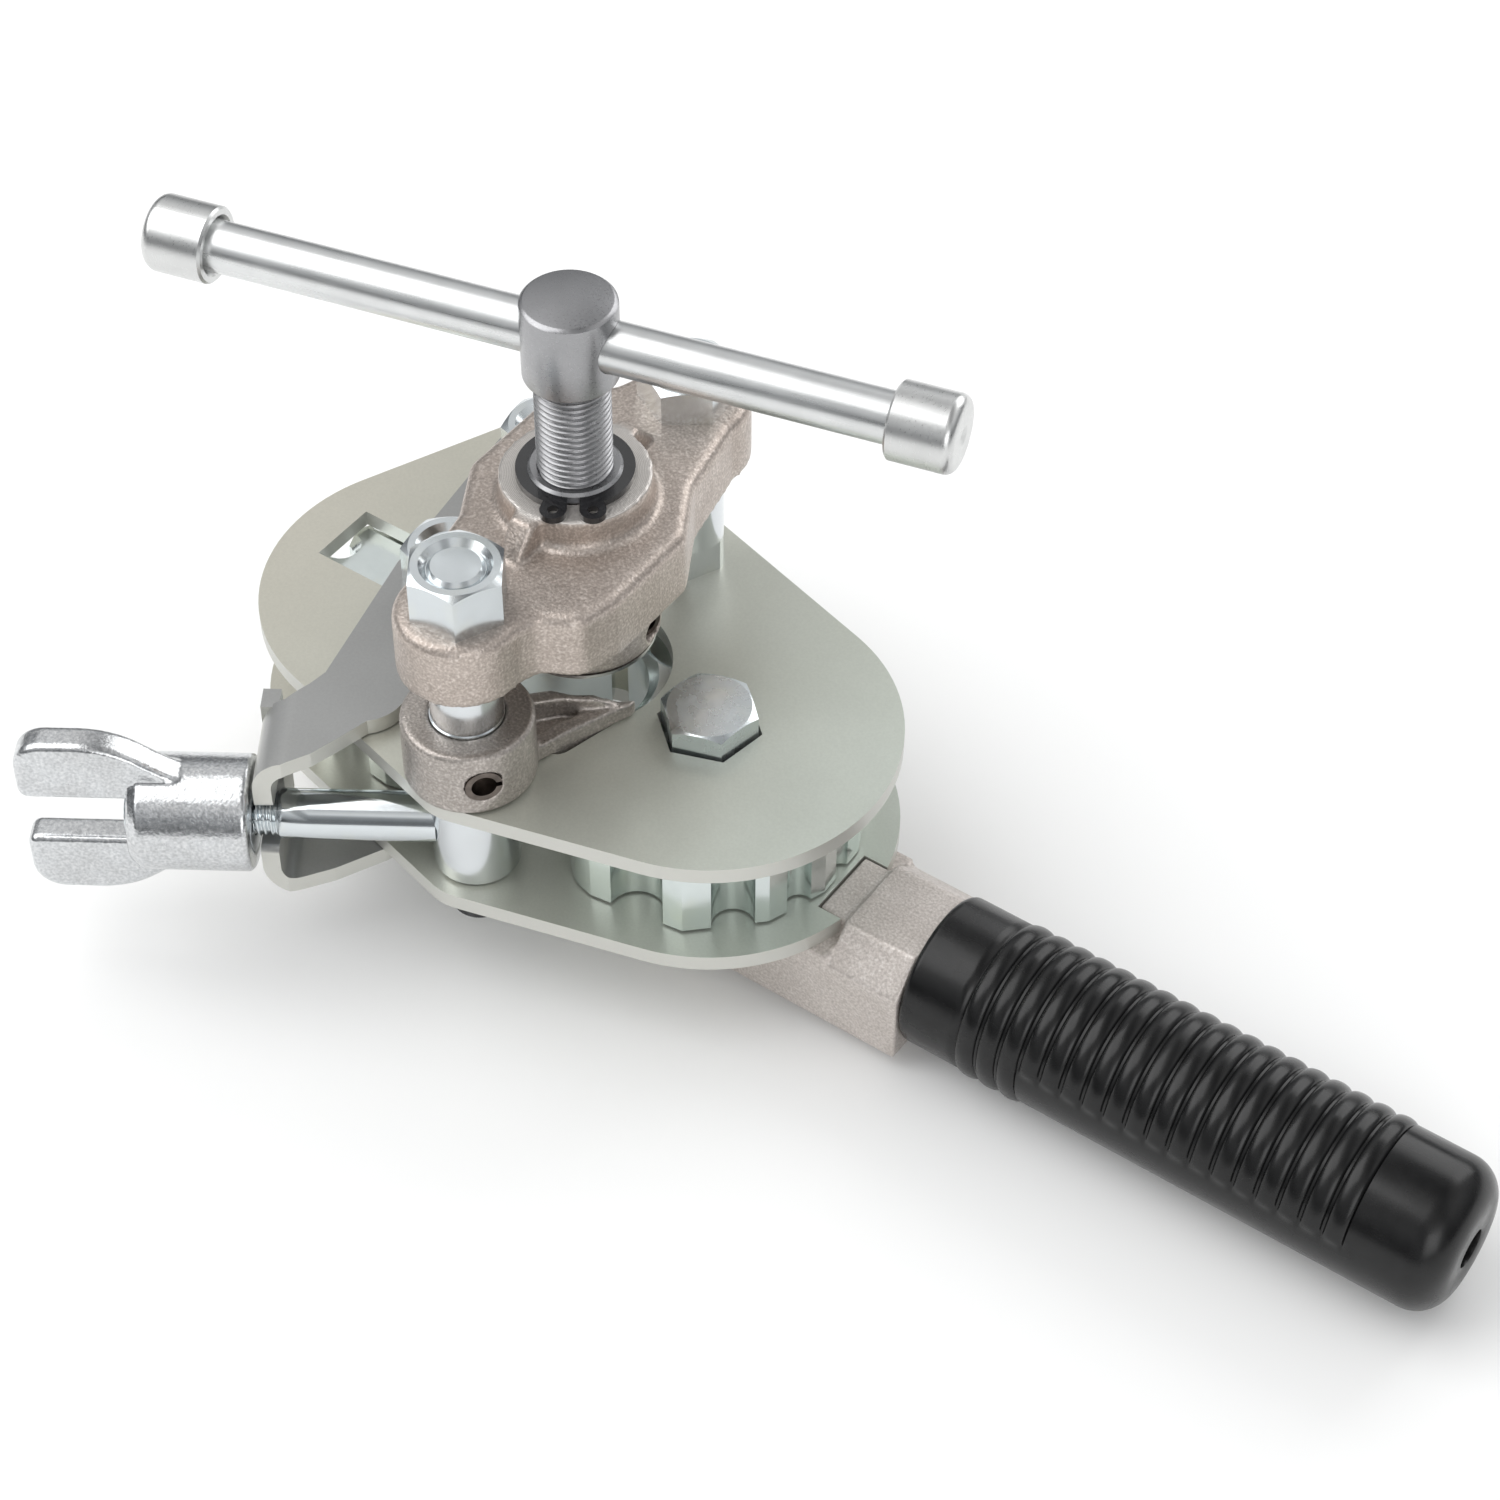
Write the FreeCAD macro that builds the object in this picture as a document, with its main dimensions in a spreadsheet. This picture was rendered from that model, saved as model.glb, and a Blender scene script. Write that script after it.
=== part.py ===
import FreeCAD, Part
import Sketcher
import math
import os
import re

# Turret-die flaring tool.
#
# Frame of the part: the origin is on the tube axis, a quarter of the gap above
# the lower frame plate.  +Z runs up the feed screw, +X runs from the left die wheel
# to the right one and on down the handle, +Y runs from the front pillar to the
# back pillar.  All sizes are in millimetres, angles in degrees.

V = FreeCAD.Vector
Z = V(0, 0, 1)
doc = FreeCAD.newDocument("flaring_tool")

# ------------------------------------------------------------------ dimensions
SIZES = [
    # frame plates
    ("gap", 24), ("plate_thk", 4), ("bolt_dia", 12), ("run_clear", 0.05),
    ("side_clear", 0.3), ("origin_drop", 6),
    # where the axes stand
    ("die_reach", 33.9), ("pillar_reach", 39.6), ("pivot_x", -42.9), ("pivot_y", 44.4),
    ("die_gap", 2.2),
    # plate outline: radii round the axes that the plate covers
    ("plate_die_rad", 42), ("plate_left_x", -38), ("plate_pivot_rad", 19.5),
    ("plate_pillar_rad", 12.8),
    ("tube_opening_rad", 19.6), ("opening_neck_half", 13.2), ("opening_neck_y", -27),
    ("opening_corner_rad", 4),
    ("axle_slot_end_x", -69), ("axle_slot_low_y", -7.6), ("axle_slot_high_y", 9.2),
    ("hex_window_af", 20.4),
    ("key_slot_depth", 7), ("key_slot_half", 9),
    # die wheels
    ("flat_reach", 33.85), ("wheel_rad", 35.7), ("wheel_end_gap", 0.6),
    ("sink_depth", 2.2), ("bush_rad", 8), ("wheel_recess_rad", 15), ("wheel_recess", 1),
    # hexagon hardware
    ("hex_af", 19), ("bolt_head_tall", 7.5), ("nut_tall", 11.6), ("arm_nut_tall", 10.4),
    ("back_nut_tall", 8.4), ("nut_cone_rad", 7.6), ("nut_cone_deep", 1.4), ("head_sunk", 1.8),
    ("stud_below_nut", 1.2),
    # yoke
    ("pillar_rise", 32), ("yoke_thk", 16), ("yoke_end_rad", 13.8), ("yoke_half_width", 25.3),
    ("yoke_edge_rad", 2.5), ("boss_rad", 16.2), ("boss_rise", 7.4), ("boss_root_rad", 18.6),
    ("rib_wide", 6), ("rib_run", 9),
    # pillars
    ("pillar_rad", 7.75), ("pillar_flat_tall", 8.5), ("pillar_flat_af", 13),
    ("gap_spacer_rad", 9.5), ("cap_screw_rad", 6.5), ("cap_screw_tall", 8),
    ("cap_key_af", 6), ("foot_washer_thk", 1.6), ("foot_washer_rad", 8.5),
    # feed sleeve, circlip, screw
    ("sleeve_rad", 10), ("sleeve_flange_rad", 13), ("sleeve_flange_thk", 2.5),
    ("sleeve_proud", 2.2), ("clip_thk", 1.5), ("clip_groove_deep", 0.8),
    ("clip_rad", 12.5), ("clip_lug_rad", 16.8), ("clip_lug_half", 2.8), ("clip_mouth_deg", 17),
    ("clip_turn", -55),
    ("screw_rad", 8), ("screw_pitch", 1.5), ("thread_deep", 0.75),
    ("thread_shown", 24), ("screw_head_rad", 10.1), ("screw_head_tall", 19.4),
    ("head_edge", 0.8),
    # T-bar
    ("bar_rad", 5.5), ("bar_half", 87.8), ("bar_up", 10), ("bar_turn", 14.1), ("bar_shift", -4.8),
    ("cap_rad", 8.2), ("cap_long", 14), ("cap_recess", 1.6), ("cap_dimple_rad", 2.2),
    # flaring head and cone
    ("cone_tip_z", 11.55), ("cone_rad", 16.4), ("cone_rim", 0.8), ("cone_nose_rad", 1.4),
    ("head_rad", 17.3), ("head_tall", 14.2), ("head_float", 0.2), ("shank_rad", 7.5),
    ("shank_over_pin", 0.7), ("pin_rad", 3.25), ("pin_bore", 2), ("pin_up", 4.6),
    ("pin_exit_deg", 12.5),
    # stop arm
    ("collar_rad", 14.3), ("collar_tall", 17), ("stop_bush_rad", 8),
    ("stop_turn", -36.3), ("stop_foot_drop", 3.2), ("head_pass", 0.7), ("foot_clear", 0.5),
    ("stop_pin_rad", 4), ("stop_pin_bore", 2.7),
    ("stop_pin_up", 8.3), ("stop_pin_turn", -39),
    ("stop_rib_rise", 8), ("stop_wall_rise", 4.5), ("stop_floor_rise", 2.2),
    # clamp arm
    ("arm_thk", 4), ("arm_half", 13.6), ("arm_neck_half", 9.7), ("arm_neck_x", -30.6),
    ("arm_neck_y", -38), ("web_reach", 46.5), ("web_far", -15), ("web_near", 4.8), ("web_stub", -19.5),
    ("rod_slot_half", 6.4), ("rod_slot_end", -9.5), ("web_bend_rad", 8), ("prong_tip_rad", 1.8),
    # swing bolt
    ("rod_turn", 213.5), ("barrel_rad", 9.5), ("barrel_bore_bush", 7.5), ("rod_rad", 5.5),
    ("rod_shoulder", 42.3), ("rod_thread_rad", 5), ("rod_end", 75.2),
    ("thrust_thk", 1.6), ("thrust_rad", 8.5), ("thrust_gap", 0.8),
    ("wing_body_rad", 12.8), ("wing_body_long", 26.4), ("wing_thk", 7.3), ("wing_in", 6.3),
    ("wing_out", 22.3), ("wing_reach", 50.2), ("wing_tip_rad", 7),
    # handle
    ("handle_drop", 23), ("cast_half", 17.5), ("cast_bottom", -37), ("cast_step_x", 76.6),
    ("cast_end_x", 95), ("cast_chamfer_in", 7.5),
    ("tang_rad", 10), ("tang_long", 98),
    ("grip_rad", 17.3), ("grip_long", 128), ("grip_end_rad", 8), ("grip_hole_rad", 4.3),
    ("grip_hole_deep", 14), ("grip_rib_rad", 1.15), ("grip_rib_first", 14.5), ("grip_rib_pitch", 5.15),
    ("grip_rib_count", 18),
]
sheet = doc.addObject("Spreadsheet::Sheet", "dims")
for row, (name, size) in enumerate(SIZES, 1):
    sheet.set("A%d" % row, name)
    sheet.set("B%d" % row, str(size))
    sheet.setAlias("B%d" % row, name)
doc.recompute()
NAMES = {name for name, size in SIZES}


def val(name):
    """The number in the sheet under this alias."""
    return float(getattr(sheet, name))


def bound(text):
    """An expression in which every alias is looked up in the sheet."""
    return re.sub(r"[a-z_]+", lambda m: "dims." + m.group() if m.group() in NAMES else m.group(), text)


# ------------------------------------------------------------ building helpers
NODES = []


def bind(obj, **exprs):
    for prop, text in exprs.items():
        obj.setExpression(prop.replace("__", "."), bound(str(text)))
    return obj


def place(obj, x=0, y=0, z=0, turn=None, axis=V(0, 0, 1)):
    """Put an object's origin at (x, y, z), turned about axis; each may be an expression."""
    obj.Placement = FreeCAD.Placement(V(), FreeCAD.Rotation(axis, 90 if turn is None else 1))
    if turn is None:
        obj.Placement = FreeCAD.Placement(V(), FreeCAD.Rotation())
    else:
        bind(obj, Placement__Rotation__Angle=turn)
    return bind(obj, Placement__Base__x=x, Placement__Base__y=y, Placement__Base__z=z)


def cylinder(name, radius, height, **at):
    return place(bind(doc.addObject("Part::Cylinder", name), Radius=radius, Height=height), **at)


def cone(name, radius_low, radius_high, height, **at):
    obj = bind(doc.addObject("Part::Cone", name), Radius1=radius_low, Radius2=radius_high, Height=height)
    return place(obj, **at)


def box(name, length, width, height, **at):
    return place(bind(doc.addObject("Part::Box", name), Length=length, Width=width, Height=height), **at)


def prism(name, across_flats, height, **at):
    """A hexagonal prism given by its width across flats."""
    obj = doc.addObject("Part::Prism", name)
    obj.Polygon = 6
    bind(obj, Circumradius="(%s) / sqrt(3)" % across_flats, Height=height)
    return place(obj, **at)


def fuse(name, *parts):
    obj = doc.addObject("Part::MultiFuse", name)
    obj.Shapes = list(parts)
    obj.Refine = True
    return obj


def cut(name, base, *tools):
    obj = doc.addObject("Part::Cut", name)
    obj.Base = base
    obj.Tool = tools[0] if len(tools) == 1 else fuse(name + "_tools", *tools)
    return obj


def common(name, *parts):
    obj = doc.addObject("Part::MultiCommon", name)
    obj.Shapes = list(parts)
    return obj


def shape(name, solid):
    """A shape that no primitive gives, worked out from the sheet's values."""
    obj = doc.addObject("Part::Feature", name)
    obj.Shape = solid
    return obj


def turned(name, points):
    """A PartDesign body: a closed profile of (radius, height) expressions, turned about Z."""
    body = doc.addObject("PartDesign::Body", name)
    sketch = body.newObject("Sketcher::SketchObject", name + "_profile")
    sketch.Placement = FreeCAD.Placement(V(), FreeCAD.Rotation(V(1, 0, 0), 90))
    points = [(bound(radius), bound(height)) for radius, height in points]
    spots = [V(float(sheet.evalExpression(x)), float(sheet.evalExpression(y)), 0) for x, y in points]
    for i, spot in enumerate(spots):
        sketch.addGeometry(Part.LineSegment(spot, spots[(i + 1) % len(spots)]))
    for i in range(len(spots)):
        sketch.addConstraint(Sketcher.Constraint("Coincident", i - 1 if i else len(spots) - 1, 2, i, 1))
    for i, (radius, height) in enumerate(points):
        if radius == "0":
            sketch.addConstraint(Sketcher.Constraint("PointOnObject", i, 1, -2))
        else:
            at = sketch.addConstraint(Sketcher.Constraint("DistanceX", -1, 1, i, 1, spots[i].x))
            sketch.setExpression("Constraints[%d]" % at, radius)
        at = sketch.addConstraint(Sketcher.Constraint("DistanceY", -1, 1, i, 1, spots[i].y))
        sketch.setExpression("Constraints[%d]" % at, height)
    turn = body.newObject("PartDesign::Revolution", name + "_turn")
    turn.Profile = sketch
    turn.ReferenceAxis = (sketch, ["V_Axis"])
    turn.Angle = 360
    return body


def node(label, obj):
    """Mark an object as one finished piece of the tool."""
    obj.Label = label
    NODES.append(obj)
    return obj


def polar(radius, degrees, z=0.0):
    a = math.radians(degrees)
    return V(radius * math.cos(a), radius * math.sin(a), z)


def tangent(first, second, z):
    """The outer tangent from one circle (x, y, radius) to the next, and its outward angle."""
    (x1, y1, r1), (x2, y2, r2) = first, second
    out = math.atan2(y2 - y1, x2 - x1) - math.acos((r1 - r2) / math.hypot(x2 - x1, y2 - y1))
    side = V(math.cos(out), math.sin(out), 0)
    return V(x1, y1, z) + side * r1, V(x2, y2, z) + side * r2, out


def hull_face(circles, z):
    """The face inside a tight band round circles (x, y, radius), listed anticlockwise."""
    circles = list(circles)
    while True:
        n = len(circles)
        ends = [tangent(circles[i], circles[(i + 1) % n], z) for i in range(n)]
        sweeps = [(ends[i][2] - ends[i - 1][2] + math.pi) % (2 * math.pi) - math.pi for i in range(n)]
        inside = [i for i in range(n) if sweeps[i] < 0] if n > 2 else []
        if not inside:
            break
        del circles[inside[0]]        # this circle lies behind its neighbours' tangent
    edges = []
    for i in range(n):
        x, y, r = circles[i]
        mid = ends[i - 1][2] + (sweeps[i] if sweeps[i] > 0 else sweeps[i] + 2 * math.pi) / 2
        edges.append(Part.Arc(ends[i - 1][1], V(x + r * math.cos(mid), y + r * math.sin(mid), z),
                              ends[i][0]).toShape())
        edges.append(Part.makeLine(ends[i][0], ends[i][1]))
    return Part.Face(Part.Wire(edges))


def polygon_face(points, z):
    points = [V(x, y, z) for x, y in points]
    return Part.Face(Part.makePolygon(points + points[:1]))


def rounded(face, radius):
    """Round the outer corners of a flat face."""
    return face.makeOffset2D(-radius).makeOffset2D(radius)


# ---------------------------------------------------------------- placed axes
low_top = "-gap / 2"                       # the lower plate's upper face
up_low = "gap / 2"                         # the upper plate's lower face
up_top = "gap / 2 + plate_thk"
low_bot = "-gap / 2 - plate_thk"
G, T = val("gap"), val("plate_thk")
UP, TOP, BOT = G / 2, G / 2 + T, -G / 2 - T
PIVOT = V(val("pivot_x"), val("pivot_y"), 0)
RIGHT_DIE = V(val("die_reach"), 0, 0)
FRONT = V(0, -val("pillar_reach"), 0)
BACK = V(0, val("pillar_reach"), 0)
# the arm stands open by die_gap at the die, a small turn about the pivot
closed = V(-val("die_reach"), 0, 0) - PIVOT
OPEN_DEG = math.degrees(val("die_gap") / abs(closed.y))
LEFT_DIE = PIVOT + FreeCAD.Rotation(Z, -OPEN_DEG).multVec(closed)
print("arm stands open by %.3f deg, left die axis %.3f %.3f" % (OPEN_DEG, LEFT_DIE.x, LEFT_DIE.y))
BOLT_R = val("bolt_dia") / 2

# -------------------------------------------------------------------- plates
outline = [
    (RIGHT_DIE.x, RIGHT_DIE.y, val("plate_die_rad")),
    (BACK.x, BACK.y, val("plate_pillar_rad")),
    (PIVOT.x, PIVOT.y, val("plate_pivot_rad")),
    (val("plate_left_x"), 0, val("plate_die_rad")),
    (FRONT.x, FRONT.y, val("plate_pillar_rad")),
]
neck, neck_y, tube_r = val("opening_neck_half"), val("opening_neck_y"), val("tube_opening_rad")
opening_sides = [(-neck, neck_y), (neck, neck_y), (tube_r * 0.985, -tube_r * 0.17),
                 (-tube_r * 0.985, -tube_r * 0.17)]


def plate_blank(z, opening):
    """One frame plate with the tube opening, its pillar holes and the arm's axle slot."""
    blank = hull_face(outline, z).extrude(V(0, 0, T))
    tools = [Part.makeCylinder(BOLT_R + val("run_clear"), T, V(p.x, p.y, z))
             for p in (FRONT, BACK, PIVOT)]
    slot_x2 = -val("die_reach") + BOLT_R + 1.5
    slot = Part.makeBox(slot_x2 - val("axle_slot_end_x"),
                        val("axle_slot_high_y") - val("axle_slot_low_y"),
                        T, V(val("axle_slot_end_x"), val("axle_slot_low_y"), z))
    tools.append(slot)
    tools.append(opening.extrude(V(0, 0, T)))
    return blank.cut(tools)


def tube_opening(z):
    round_part = Part.Face(Part.Wire(Part.makeCircle(tube_r, V(0, 0, z))))
    sides = rounded(polygon_face(opening_sides, z), val("opening_corner_rad"))
    return round_part.fuse(sides).removeSplitter()


top_blank = shape("top_blank", plate_blank(UP, tube_opening(UP)))
hex_window = prism("hex_window", "hex_window_af", "plate_thk", x="die_reach", y=0, z=up_low, turn="20")
node("upper_plate", cut("upper_plate", top_blank, hex_window))

low_blank = shape("low_blank", plate_blank(BOT, tube_opening(BOT)))
key_x = val("die_reach") + val("plate_die_rad") - val("key_slot_depth")
key_slot = box("key_slot", "key_slot_depth + 4", "2 * key_slot_half", "plate_thk",
               x="die_reach + plate_die_rad - key_slot_depth", y="-key_slot_half", z=low_bot)
low_bolt_hole = cylinder("low_bolt_hole", "bolt_dia / 2 + run_clear", "plate_thk", x="die_reach",
                         z=low_bot)
node("lower_plate", cut("lower_plate", low_blank, key_slot, low_bolt_hole))

# ---------------------------------------------------------------- die wheels
# Each wheel carries half a hole for each tube size.  The notches are listed as
# angle on the wheel and tube diameter; the first one faces the tube axis.
NOTCHES = [(180, 28.58), (-128, 15.88), (-82, 12.7), (-46, 9.53), (-20, 6.35),
           (3, 4.76), (27, 6.0), (52, 7.94), (87, 19.05), (131, 22.23)]
WHEEL_LOW = -G / 2 + val("wheel_end_gap")
WHEEL_TALL = G - 2 * val("wheel_end_gap")


def die_wheel(mirror):
    """A wheel about the origin: a turned disc, a flat at each notch, and the notches."""
    disc = Part.makeCylinder(val("wheel_rad"), WHEEL_TALL, V(0, 0, WHEEL_LOW))
    reach, big = val("flat_reach"), 3 * val("wheel_rad")
    tools = []
    for angle, dia in NOTCHES:
        angle = 180 - angle if mirror else angle
        turn = FreeCAD.Rotation(Z, angle)
        flat = Part.makeBox(big, big, WHEEL_TALL, V(reach, -big / 2, WHEEL_LOW))
        flat.Placement = FreeCAD.Placement(V(), turn)
        at = polar(val("die_reach"), angle)
        r, sink, top = dia / 2, val("sink_depth"), WHEEL_LOW + WHEEL_TALL
        tools += [flat, Part.makeCylinder(r, WHEEL_TALL, V(at.x, at.y, WHEEL_LOW)),
                  Part.makeCone(r, r + sink, sink, V(at.x, at.y, top - sink))]
    tools.append(Part.makeCylinder(val("bush_rad") + val("run_clear"), WHEEL_TALL, V(0, 0, WHEEL_LOW)))
    tools.append(Part.makeCylinder(val("wheel_recess_rad"), val("wheel_recess"), V(0, 0, WHEEL_LOW)))
    tools.append(Part.makeCylinder(val("wheel_recess_rad"), val("wheel_recess"),
                                   V(0, 0, WHEEL_LOW + WHEEL_TALL - val("wheel_recess"))))
    return disc.cut(tools)


right = node("right_die_wheel", shape("right_die_wheel", die_wheel(False)))
right.Placement = FreeCAD.Placement(RIGHT_DIE, FreeCAD.Rotation())
left = node("left_die_wheel", shape("left_die_wheel", die_wheel(True)))
# it spins freely, and rests with its first notch level with the tube axis
left_spin = math.degrees(math.asin(-LEFT_DIE.y / val("die_reach")))
left.Placement = FreeCAD.Placement(LEFT_DIE, FreeCAD.Rotation(Z, left_spin))


# ---------------------------------------------------------- hexagon hardware
def hex_solid(name, height, x, y, z, turn, crown_up=True):
    """A hexagon of the standard width, the corners of one end turned off at 30 degrees."""
    blank = prism(name + "_hex", "hex_af", height, x=x, y=y, z=z, turn=turn)
    wide, narrow, slope = "hex_af / 2 + 2", "hex_af / 2 - 0.3", "2.3 * 0.577"
    tall = "%s - %s" % (height, slope)
    if crown_up:
        limits = [cylinder(name + "_turned", wide, tall, x=x, y=y, z=z),
                  cone(name + "_crown", wide, narrow, slope, x=x, y=y, z="%s + %s" % (z, tall))]
    else:
        limits = [cylinder(name + "_turned", wide, tall, x=x, y=y, z="%s + %s" % (z, slope)),
                  cone(name + "_foot", narrow, wide, slope, x=x, y=y, z=z)]
    return common(name + "_body", blank, fuse(name + "_limits", *limits))


def lock_nut(label, x, y, z, turn, tall="nut_tall"):
    """A tall all-metal lock nut, bored for its stud and countersunk on top."""
    body = hex_solid(label, tall, x, y, z, turn)
    bore = cylinder(label + "_bore", "bolt_dia / 2", tall, x=x, y=y, z=z)
    sink = cone(label + "_sink", "nut_cone_rad - nut_cone_deep", "nut_cone_rad", "nut_cone_deep",
                x=x, y=y, z="%s + %s - nut_cone_deep" % (z, tall))
    return node(label, cut(label, body, bore, sink))


# right die bolt: its head sits part way into the upper plate's window, on the bush
head_z = up_top + " - head_sunk"
bush = cut("right_die_bush",
           cylinder("right_bush_outer", "bush_rad", "gap + plate_thk - head_sunk", x="die_reach",
                    z=low_top),
           cylinder("right_bush_bore", "bolt_dia / 2", "gap + plate_thk - head_sunk", x="die_reach",
                    z=low_top))
node("right_die_bush", bush)
bolt_grip = "gap + 2 * plate_thk - head_sunk + 14"
right_bolt = fuse("right_die_bolt",
                  hex_solid("right_bolt_head", "bolt_head_tall", "die_reach", 0, head_z, "19"),
                  cylinder("right_bolt_shank", "bolt_dia / 2", bolt_grip, x="die_reach",
                           z="%s - (%s)" % (head_z, bolt_grip)))
node("right_die_bolt", right_bolt)

# ------------------------------------------------------------ pillars and yoke
yoke_z = up_top + " + pillar_rise"
nut_z = yoke_z + " + yoke_thk"
for tag, y, tall in (("front", "-pillar_reach", "nut_tall"), ("back", "pillar_reach", "back_nut_tall")):
    stud_len = "gap + 2 * plate_thk + pillar_rise + yoke_thk - stud_below_nut + " + tall
    stud = cylinder(tag + "_stud_bar", "bolt_dia / 2", stud_len, y=y, z=low_bot)
    crown = cone(tag + "_stud_crown", "bolt_dia / 2", "bolt_dia / 2 - 0.8", "0.8", y=y,
                 z="%s + %s" % (low_bot, stud_len))
    hole = cylinder(tag + "_stud_tap", "4", "14", y=y, z=low_bot)
    node(tag + "_stud", cut(tag + "_stud", fuse(tag + "_stud_whole", stud, crown), hole))
    lock_nut(tag + "_nut", 0, y, nut_z, "5" if tag == "front" else "35", tall)
    washer_z = low_bot + " - foot_washer_thk"
    node(tag + "_foot_washer", cut(tag + "_foot_washer",
         cylinder(tag + "_washer_disc", "foot_washer_rad", "foot_washer_thk", y=y, z=washer_z),
         cylinder(tag + "_washer_hole", "4", "foot_washer_thk", y=y, z=washer_z)))
    screw = fuse(tag + "_foot_screw_whole",
                 cylinder(tag + "_cap", "cap_screw_rad", "cap_screw_tall", y=y,
                          z="%s - cap_screw_tall" % washer_z),
                 cylinder(tag + "_cap_shank", "4", "12 + foot_washer_thk", y=y, z=washer_z))
    key = prism(tag + "_key", "cap_key_af", "cap_screw_tall / 2", y=y,
                z="%s - cap_screw_tall" % washer_z, turn="0")
    node(tag + "_foot_screw", cut(tag + "_foot_screw", screw, key))

node("front_spacer", cut("front_spacer",
     cylinder("front_spacer_outer", "pillar_rad", "pillar_rise - collar_tall - side_clear / 2",
              y="-pillar_reach",
              z=up_top + " + collar_tall + side_clear / 2"),
     cylinder("front_spacer_bore", "bolt_dia / 2", "pillar_rise", y="-pillar_reach", z=up_top)))
node("stop_bush", cut("stop_bush",
     cylinder("stop_bush_outer", "stop_bush_rad", "collar_tall + side_clear / 2", y="-pillar_reach",
              z=up_top),
     cylinder("stop_bush_bore", "bolt_dia / 2", "pillar_rise", y="-pillar_reach", z=up_top)))
node("barrel_bush", cut("barrel_bush",
     cylinder("barrel_bush_outer", "barrel_bore_bush", "gap", y="-pillar_reach", z=low_top),
     cylinder("barrel_bush_bore", "bolt_dia / 2", "gap", y="-pillar_reach", z=low_top)))
node("back_spacer", cut("back_spacer",
     cylinder("back_spacer_outer", "gap_spacer_rad", "gap", y="pillar_reach", z=low_top),
     cylinder("back_spacer_bore", "bolt_dia / 2", "gap", y="pillar_reach", z=low_top)))

# the back pillar is a round bar with two spanner flats milled at its foot
bar = cylinder("pillar_bar", "pillar_rad", "pillar_rise", y="pillar_reach", z=up_top)
flat_tools = []
for tag, out in (("near", val("pillar_flat_af") / 2), ("far", -val("pillar_flat_af") / 2 - 6)):
    flat = shape("flat_" + tag, Part.makeBox(6, 40, val("pillar_flat_tall")))
    flat.Placement = FreeCAD.Placement(BACK + V(0, 0, TOP), FreeCAD.Rotation(Z, -25)).multiply(
        FreeCAD.Placement(V(out, -20, 0), FreeCAD.Rotation()))
    flat_tools.append(flat)
node("back_pillar", cut("back_pillar", bar, *flat_tools,
     cylinder("pillar_bore", "bolt_dia / 2", "pillar_rise", y="pillar_reach", z=up_top)))

# yoke: a casting that bridges the pillars, the same after half a turn
YZ, YT = TOP + val("pillar_rise"), val("yoke_thk")
half, end_r, reach_y = val("yoke_half_width"), val("yoke_end_rad"), val("pillar_reach")
side = [(end_r, -reach_y + 2), (end_r + 1.6, -reach_y + 6.2), (half - 2.2, -reach_y + 10.4),
        (half, -reach_y + 20), (half, 4), (half - 7.6, 17.5), (end_r, reach_y - 3)]
body = polygon_face(side + [(-x, -y) for x, y in side], YZ)
ends = [Part.Face(Part.Wire(Part.makeCircle(end_r, V(0, y, YZ)))) for y in (-reach_y, reach_y)]
yoke_face = body.fuse(ends).removeSplitter().Faces[0]
yoke_face = rounded(yoke_face, 5.0)
yoke_face = yoke_face.makeOffset2D(4.0).makeOffset2D(-4.0)
yoke = yoke_face.extrude(V(0, 0, YT))
top_edges = [e for e in yoke.Edges if min(v.Point.z for v in e.Vertexes) > YZ + YT - 0.01]
yoke = yoke.makeFillet(val("yoke_edge_rad"), top_edges)
boss_r, root_r, rise = val("boss_rad"), val("boss_root_rad"), val("boss_rise")
# boss with a hollow fillet at its root
profile = Part.Wire([
    Part.makeLine(V(0, 0, YZ + YT - 1), V(root_r, 0, YZ + YT - 1)),
    Part.makeLine(V(root_r, 0, YZ + YT - 1), V(root_r, 0, YZ + YT)),
    Part.Arc(V(root_r, 0, YZ + YT),
             V(boss_r + (root_r - boss_r) * (1 - math.sqrt(0.5)), 0, YZ + YT
               + (root_r - boss_r) * (1 - math.sqrt(0.5))),
             V(boss_r, 0, YZ + YT + root_r - boss_r)).toShape(),
    Part.makeLine(V(boss_r, 0, YZ + YT + root_r - boss_r), V(boss_r, 0, YZ + YT + rise)),
    Part.makeLine(V(boss_r, 0, YZ + YT + rise), V(0, 0, YZ + YT + rise)),
    Part.makeLine(V(0, 0, YZ + YT + rise), V(0, 0, YZ + YT - 1)),
])
boss = Part.Face(profile).revolve(V(0, 0, 0), Z, 360)
ribs = []
for turn in (0, 180):
    run, wide = val("rib_run"), val("rib_wide")
    rib = Part.Face(Part.makePolygon([V(-wide / 2, -boss_r + 2, YZ + YT - 1),
                                      V(-wide / 2, -boss_r - run, YZ + YT - 1),
                                      V(-wide / 2, -boss_r - run + 1.5, YZ + YT + 0.6),
                                      V(-wide / 2, -boss_r - 2.5, YZ + YT + rise - 0.4),
                                      V(-wide / 2, -boss_r + 2, YZ + YT + rise - 0.4),
                                      V(-wide / 2, -boss_r + 2, YZ + YT - 1)])).extrude(V(wide, 0, 0))
    rib = rib.makeFillet(1.2, [e for e in rib.Edges
                               if abs(e.Vertexes[0].Point.x - e.Vertexes[-1].Point.x) < 1e-6
                               and e.BoundBox.ZMax > YZ + YT + 0.7 and e.BoundBox.YLength > 1
                               and e.BoundBox.ZLength > 1])
    rib.rotate(V(), Z, turn)
    ribs.append(rib)
yoke = yoke.fuse([boss] + ribs).removeSplitter()
bores = [Part.makeCylinder(BOLT_R + val("run_clear"), 60, V(p.x, p.y, YZ - 5)) for p in (FRONT, BACK)]
bores.append(Part.makeCylinder(val("sleeve_rad"), 60, V(0, 0, YZ - 5)))
node("yoke", shape("yoke", yoke.cut(bores)))

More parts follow.
